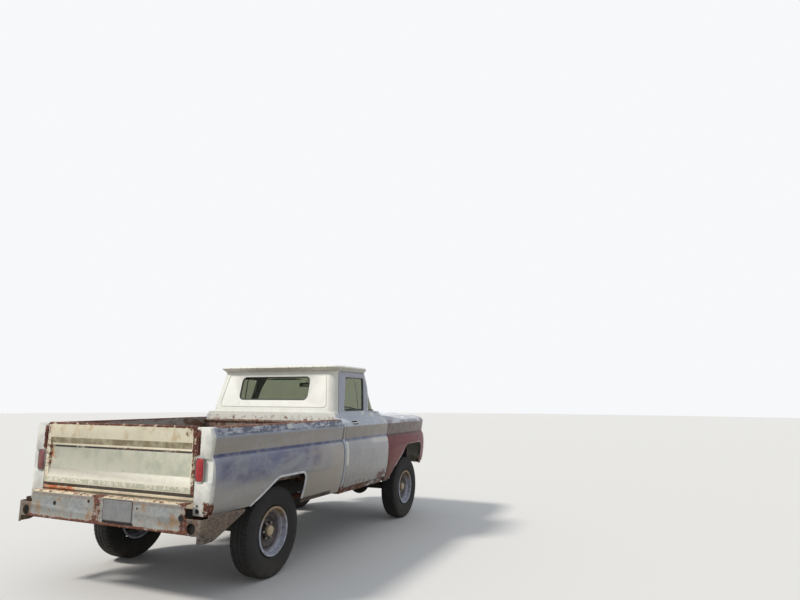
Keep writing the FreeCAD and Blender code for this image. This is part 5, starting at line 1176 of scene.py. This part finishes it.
def cushion(name, centre, half, lean, channel_face, cap):
    """Superquadric block sheared by lean, inflated, smoothed, with channels 80 mm apart in x."""
    obj = rounded_block(name, centre, half, seat_vinyl, "chassis", 0.30, 29, 96)
    co = points_of(obj.data)
    co[:, 1] += lean * (co[:, 2] - centre[2])
    move_points(obj.data, co)
    inflated(obj, cap)
    smooth = obj.modifiers.new("round", "SUBSURF")
    smooth.levels = smooth.render_levels = 1
    graph = bpy.context.evaluated_depsgraph_get()
    mesh = bpy.data.meshes.new_from_object(obj.evaluated_get(graph))
    obj.modifiers.clear()
    obj.data = mesh
    co, normal = points_of(mesh), np.empty(len(mesh.vertices) * 3)
    mesh.vertices.foreach_get("normal", normal)
    normal = normal.reshape(-1, 3)
    facing = np.clip(normal @ np.asarray(channel_face, float) * 2 - 0.9, 0, 1)
    inside = np.clip((half[0] - 0.07 - np.abs(co[:, 0])) / 0.02, 0, 1)
    across = (co[:, 0] + 0.04) % 0.08 - 0.04
    press = 0.006 * np.exp(-(across / 0.007) ** 2) * facing * inside
    press += 0.005 * np.exp(-((np.abs(co[:, 0]) - half[0] + 0.075) / 0.007) ** 2) * facing
    fold = 0.0012 * np.sin(co[:, 0] * 37 + 5 * np.sin(co[:, 2] * 23)) * np.sin(co[:, 1] * 41)
    co += normal * (fold - press)[:, None]
    move_points(mesh, co)
    mesh.materials.clear()
    mesh.materials.append(seat_vinyl)
    mesh.shade_smooth()
    mesh.update()
    return obj


seat_cushion = cushion("seat_cushion", (0, 0.130, 0.932), (0.668, 0.250, 0.066), 0.0, (0, 0, 1),
                       0.018)
seat_back = cushion("seat_back", (0, -0.135, 1.210), (0.668, 0.048, 0.180), -0.12, (0, 1, 0.1),
                    0.016)
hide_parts("seat")
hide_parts("seat")
riser = rounded_block("seat_riser", (0, 0.09, 0.780), (0.655, 0.235, 0.075), cabin_paint,
                      "chassis", 0.12)
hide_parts("seat")
print("seat done", len(seat_cushion.data.vertices), len(seat_back.data.vertices))

# %% [markdown]
# ## Dashboard, pedals and doors inside
# Fittings on the dashboard and the door trim are set on the CAD surface by a ray shot at them, so
# they touch and never float.

# %% Fittings inside the cab

DIAL = dull_finish("dial_face", rgb(40, 40, 42), rgb(54, 54, 56), 0.25, dust=0.0)
IVORY = dull_finish("knob_ivory", rgb(210, 198, 168), rgb(190, 176, 142), 0.35, dust=0.0)
TRIM = dull_finish("door_trim", rgb(120, 122, 120), rgb(96, 98, 98), 0.7, dust=0.0)
for k, (x, z, r) in enumerate(((-0.35, 1.262, 0.058), (-0.475, 1.262, 0.036),
                               (-0.225, 1.262, 0.036))):
    place, _ = touch("dashboard", (x, 0.2, z), (0, 1, 0))
    centre = (x, place.y - 0.0005, z)
    dome(f"dial_{k}", centre, (r, r), 0.003, (0, -1, 0), DIAL, "chassis", 1.0, 6, 40)
    ring(f"dial_rim_{k}", (x, place.y - 0.003, z), (r, r), (0, -1, 0), 0.006, 0.006, chrome)
    a = math.radians(215 - 70 * k)
    needle = np.array([(x, place.y - 0.0042, z), (x + math.cos(a) * r * 0.75, place.y - 0.0042,
                                                z + math.sin(a) * r * 0.75)])
    tube(f"dial_needle_{k}", needle, 0.01, (0.002, 0.001, 6), IVORY, up=(0, -1, 0))
for k, (x, z) in enumerate(((-0.60, 1.20), (-0.54, 1.20), (-0.16, 1.19), (-0.10, 1.19),
                            (0.06, 1.19), (0.12, 1.19), (0.43, 1.30))):
    place, _ = touch("dashboard", (x, 0.2, z), (0, 1, 0))
    dome(f"dash_knob_{k}", (x, place.y, z), (0.012, 0.012), 0.022, (0, -1, 0), chrome if k == 6 else
         IVORY, "chassis", 1.0, 7, 20)
place, _ = touch("dashboard", (0.09, 0.2, 1.262), (0, 1, 0))
rounded_block("radio_plate", (0.09, place.y - 0.001, 1.262), (0.082, 0.004, 0.030), DIAL,
              "chassis", 0.15)
ring("radio_rim", (0.09, place.y - 0.003, 1.262), (0.084, 0.032), (0, -1, 0), 0.005, 0.005, chrome,
     "chassis", 0.15)
place, _ = touch("dashboard", (0.43, 0.2, 1.25), (0, 1, 0))
ring("glove_box", (0.43, place.y, 1.252), (0.150, 0.062), (0, -1, 0), 0.004, 0.003, EDGE_DARK,
     "chassis", 0.18)

COLUMN = np.array([0.0, -0.788, 0.616])
hub = np.array([-0.35, 0.602, 1.205]) + COLUMN * 0.012
dome("horn_button", hub, (0.038, 0.038), 0.018, COLUMN, chrome, "chassis", 1.0, 8, 36)
ring("horn_ring", hub + COLUMN * 0.004, (0.125, 0.125), COLUMN, 0.006, 0.006, chrome)
across, up, _ = frame_axes(COLUMN)
for k, turn in enumerate((0.0, math.pi)):
    out = math.cos(turn) * across
    spoke = np.array([hub + out * 0.02, hub + out * 0.125 + COLUMN * 0.004])
    tube(f"horn_spoke_{k}", spoke, 0.01, (0.010, 0.004, 8), chrome, up=COLUMN)
gear = np.array([(-0.345, 0.72, 1.115), (-0.26, 0.70, 1.16), (-0.17, 0.66, 1.21)])
tube("shift_lever", gear, 0.01, (0.009, 0.009, 8), chrome)
dome("shift_knob", (-0.168, 0.659, 1.211), (0.015, 0.015), 0.018, (0.7, -0.3, 0.4), IVORY)
transfer = np.array([(0.03, 0.70, 0.715), (0.03, 0.66, 0.84), (0.01, 0.58, 0.96),
                     (0.0, 0.53, 1.06)])
tube("transfer_lever", transfer, 0.01, (0.013, 0.013, 10), dull_steel, up=(1, 0, 0))
dome("transfer_knob", (0.0, 0.53, 1.058), (0.020, 0.020), 0.030, (0, -0.4, 1), black_rubber)
for k, (x, wide) in enumerate(((-0.50, 0.036), (-0.36, 0.036), (-0.22, 0.024))):
    stem = np.array([(x, 0.90, 1.16), (x, 0.90, 1.02), (x, 0.86, 0.86), (x, 0.835, 0.80)])
    tube(f"pedal_stem_{k}", stem, 0.01, (0.012, 0.012, 8), dull_steel, up=(1, 0, 0))
    rounded_block(f"pedal_{k}", (x, 0.828, 0.795), (wide, 0.008, 0.034), black_rubber, "chassis",
                  0.3)

for side, tag in ((-1, "left"), (1, "right")):
    door = "door_" + tag
    place, _ = touch(door, (side * 0.4, 0.28, 1.05), (side, 0, 0))
    inner = abs(place.x)
    rounded_block("trim_board_" + tag, (side * (inner - 0.0015), 0.26, 1.03), (0.003, 0.43, 0.17),
                  TRIM, door, 0.10)
    for k, z in enumerate((0.93, 1.00, 1.07, 1.14)):
        line = np.array([(side * (inner - 0.0045), -0.13, z), (side * (inner - 0.0045), 0.65, z)])
        tube(f"trim_pleat_{tag}_{k}", line, 0.05, (0.005, 0.003, 6), TRIM, door, (1, 0, 0))
    rounded_block("arm_rest_" + tag, (side * (inner - 0.032), 0.13, 1.125), (0.030, 0.14, 0.022),
                  seat_vinyl, door, 0.4)
    crank = (side * (inner - 0.016), 0.34, 1.07)
    dome("crank_hub_" + tag, (side * (inner - 0.003), 0.34, 1.07), (0.020, 0.020), 0.016,
         (-side, 0, 0), chrome, door)
    arm = np.array([crank, (side * (inner - 0.022), 0.40, 1.03),
                    (side * (inner - 0.026), 0.445, 1.0)])
    tube("crank_arm_" + tag, arm, 0.008, (0.012, 0.006, 8), chrome, door, (1, 0, 0))
    dome("crank_knob_" + tag, (side * (inner - 0.027), 0.445, 1.0), (0.013, 0.013), 0.024,
         (-side, 0, 0), IVORY, door)
    pull = np.array([(side * (inner - 0.006), 0.02, 1.19), (side * (inner - 0.020), 0.03, 1.19),
                     (side * (inner - 0.022), 0.11, 1.185)])
    tube("inner_handle_" + tag, pull, 0.006, (0.012, 0.008, 8), chrome, door, (1, 0, 0))
    rounded_block("sun_visor_" + tag, (side * 0.33, 0.46, 1.772), (0.22, 0.075, 0.008), TRIM,
                  "chassis", 0.25)
rounded_block("mirror", (0.0, 0.47, 1.700), (0.105, 0.009, 0.026), black_rubber, "chassis", 0.35)
dome("mirror_glass", (0.0, 0.462, 1.700), (0.098, 0.020), 0.0015, (0, -1, 0), chrome, "chassis",
     0.5)
stay = np.array([(0, 0.475, 1.712), (0, 0.50, 1.76), (0, 0.515, 1.80)])
tube("mirror_stay", stay, 0.01, (0.008, 0.008, 8), chrome, up=(1, 0, 0))

# %% [markdown]
# ## Front lamps and wipers
# A sealed-beam lamp is a fluted glass bowl held by a bright ring. The flutes are a cosine ripple
# across the dome. Wiper arms are bent to the glass by the same rays that placed the dials.

# %% Front end
LAMP_LENS = dull_finish("lamp_lens", rgb(206, 210, 208), rgb(184, 188, 188), 0.10, dust=0.0,
                        bump=0.05)
AMBER = dull_finish("amber_lens", rgb(196, 128, 56), rgb(176, 104, 44), 0.2, dust=0.0, scale=40.0)
for side, tag in ((-1, "left"), (1, "right")):
    bowl = dome("headlamp_" + tag, (side * 0.715, 2.232, 1.060), (0.083, 0.083), 0.020, (0, 1, 0),
                LAMP_LENS, "chassis", 1.0, 16, 64, 0.0005)
    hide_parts("headlamps")
    shell = ring("headlamp_ring_" + tag, (side * 0.715, 2.236, 1.060), (0.086, 0.086), (0, 1, 0),
                 0.012, 0.018, chrome)
    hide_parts("headlamps")
    place, _ = touch("grille", (side * 0.715, 2.6, 0.86), (0, -1, 0))
    dome("turn_lamp_" + tag, (side * 0.715, place.y + 0.003, 0.86), (0.052, 0.027), 0.012,
         (0, 1, 0), AMBER, "chassis", 0.7, 10, 48, 0.0003)
    ring("turn_ring_" + tag, (side * 0.715, place.y + 0.002, 0.86), (0.055, 0.030), (0, 1, 0),
         0.006, 0.006, chrome, "chassis", 0.7)
    run = []
    for s in np.linspace(0, 1, 12):
        x, z = side * (0.42 - 0.40 * s), 1.400 + 0.050 * s
        place, normal = touch("windshield", (x, 3.0, z), (0, -1, 0))
        run.append(np.array(place) + np.array((0, 0.010, 0.004)))
    run = np.array(run)
    tube("wiper_blade_" + tag, run, None, (0.010, 0.014, 8), black_rubber, up=(0, 0, 1))
    arm = np.stack([run[1] + (0, 0.012, -0.012), run[4] + (0, 0.014, 0.004),
                    run[6] + (0, 0.010, 0.004)])
    tube("wiper_arm_" + tag, arm, 0.012, (0.008, 0.006, 8), dull_steel, up=(0, 0, 1))

# %% [markdown]
# ## Under the body
# Telescopic shock absorbers stand between each axle and the frame: a tube, a cover and a rod.

# %% Shock absorbers
for k, (x, low, high) in enumerate((
        (-0.47, (-1.285, 0.40), (-1.10, 0.70)), (0.47, (-1.285, 0.40), (-1.10, 0.70)),
        (-0.43, (1.47, 0.40), (1.40, 0.70)), (0.43, (1.47, 0.40), (1.40, 0.70)))):
    a, b = np.array([x, *low]), np.array([x, *high])
    for part, r, s0, s1, finish in (("tube", 0.025, 0.04, 0.55, chassis_black),
                                    ("cover", 0.030, 0.50, 0.93, engine_iron),
                                    ("rod", 0.009, 0.0, 1.0, dull_steel)):
        line = np.stack([a + (b - a) * s for s in np.linspace(s0, s1, 6)])
        tube(f"shock_{part}_{k}", line, None, (2 * r, 2 * r, 20), finish, up=(1, 0, 0))
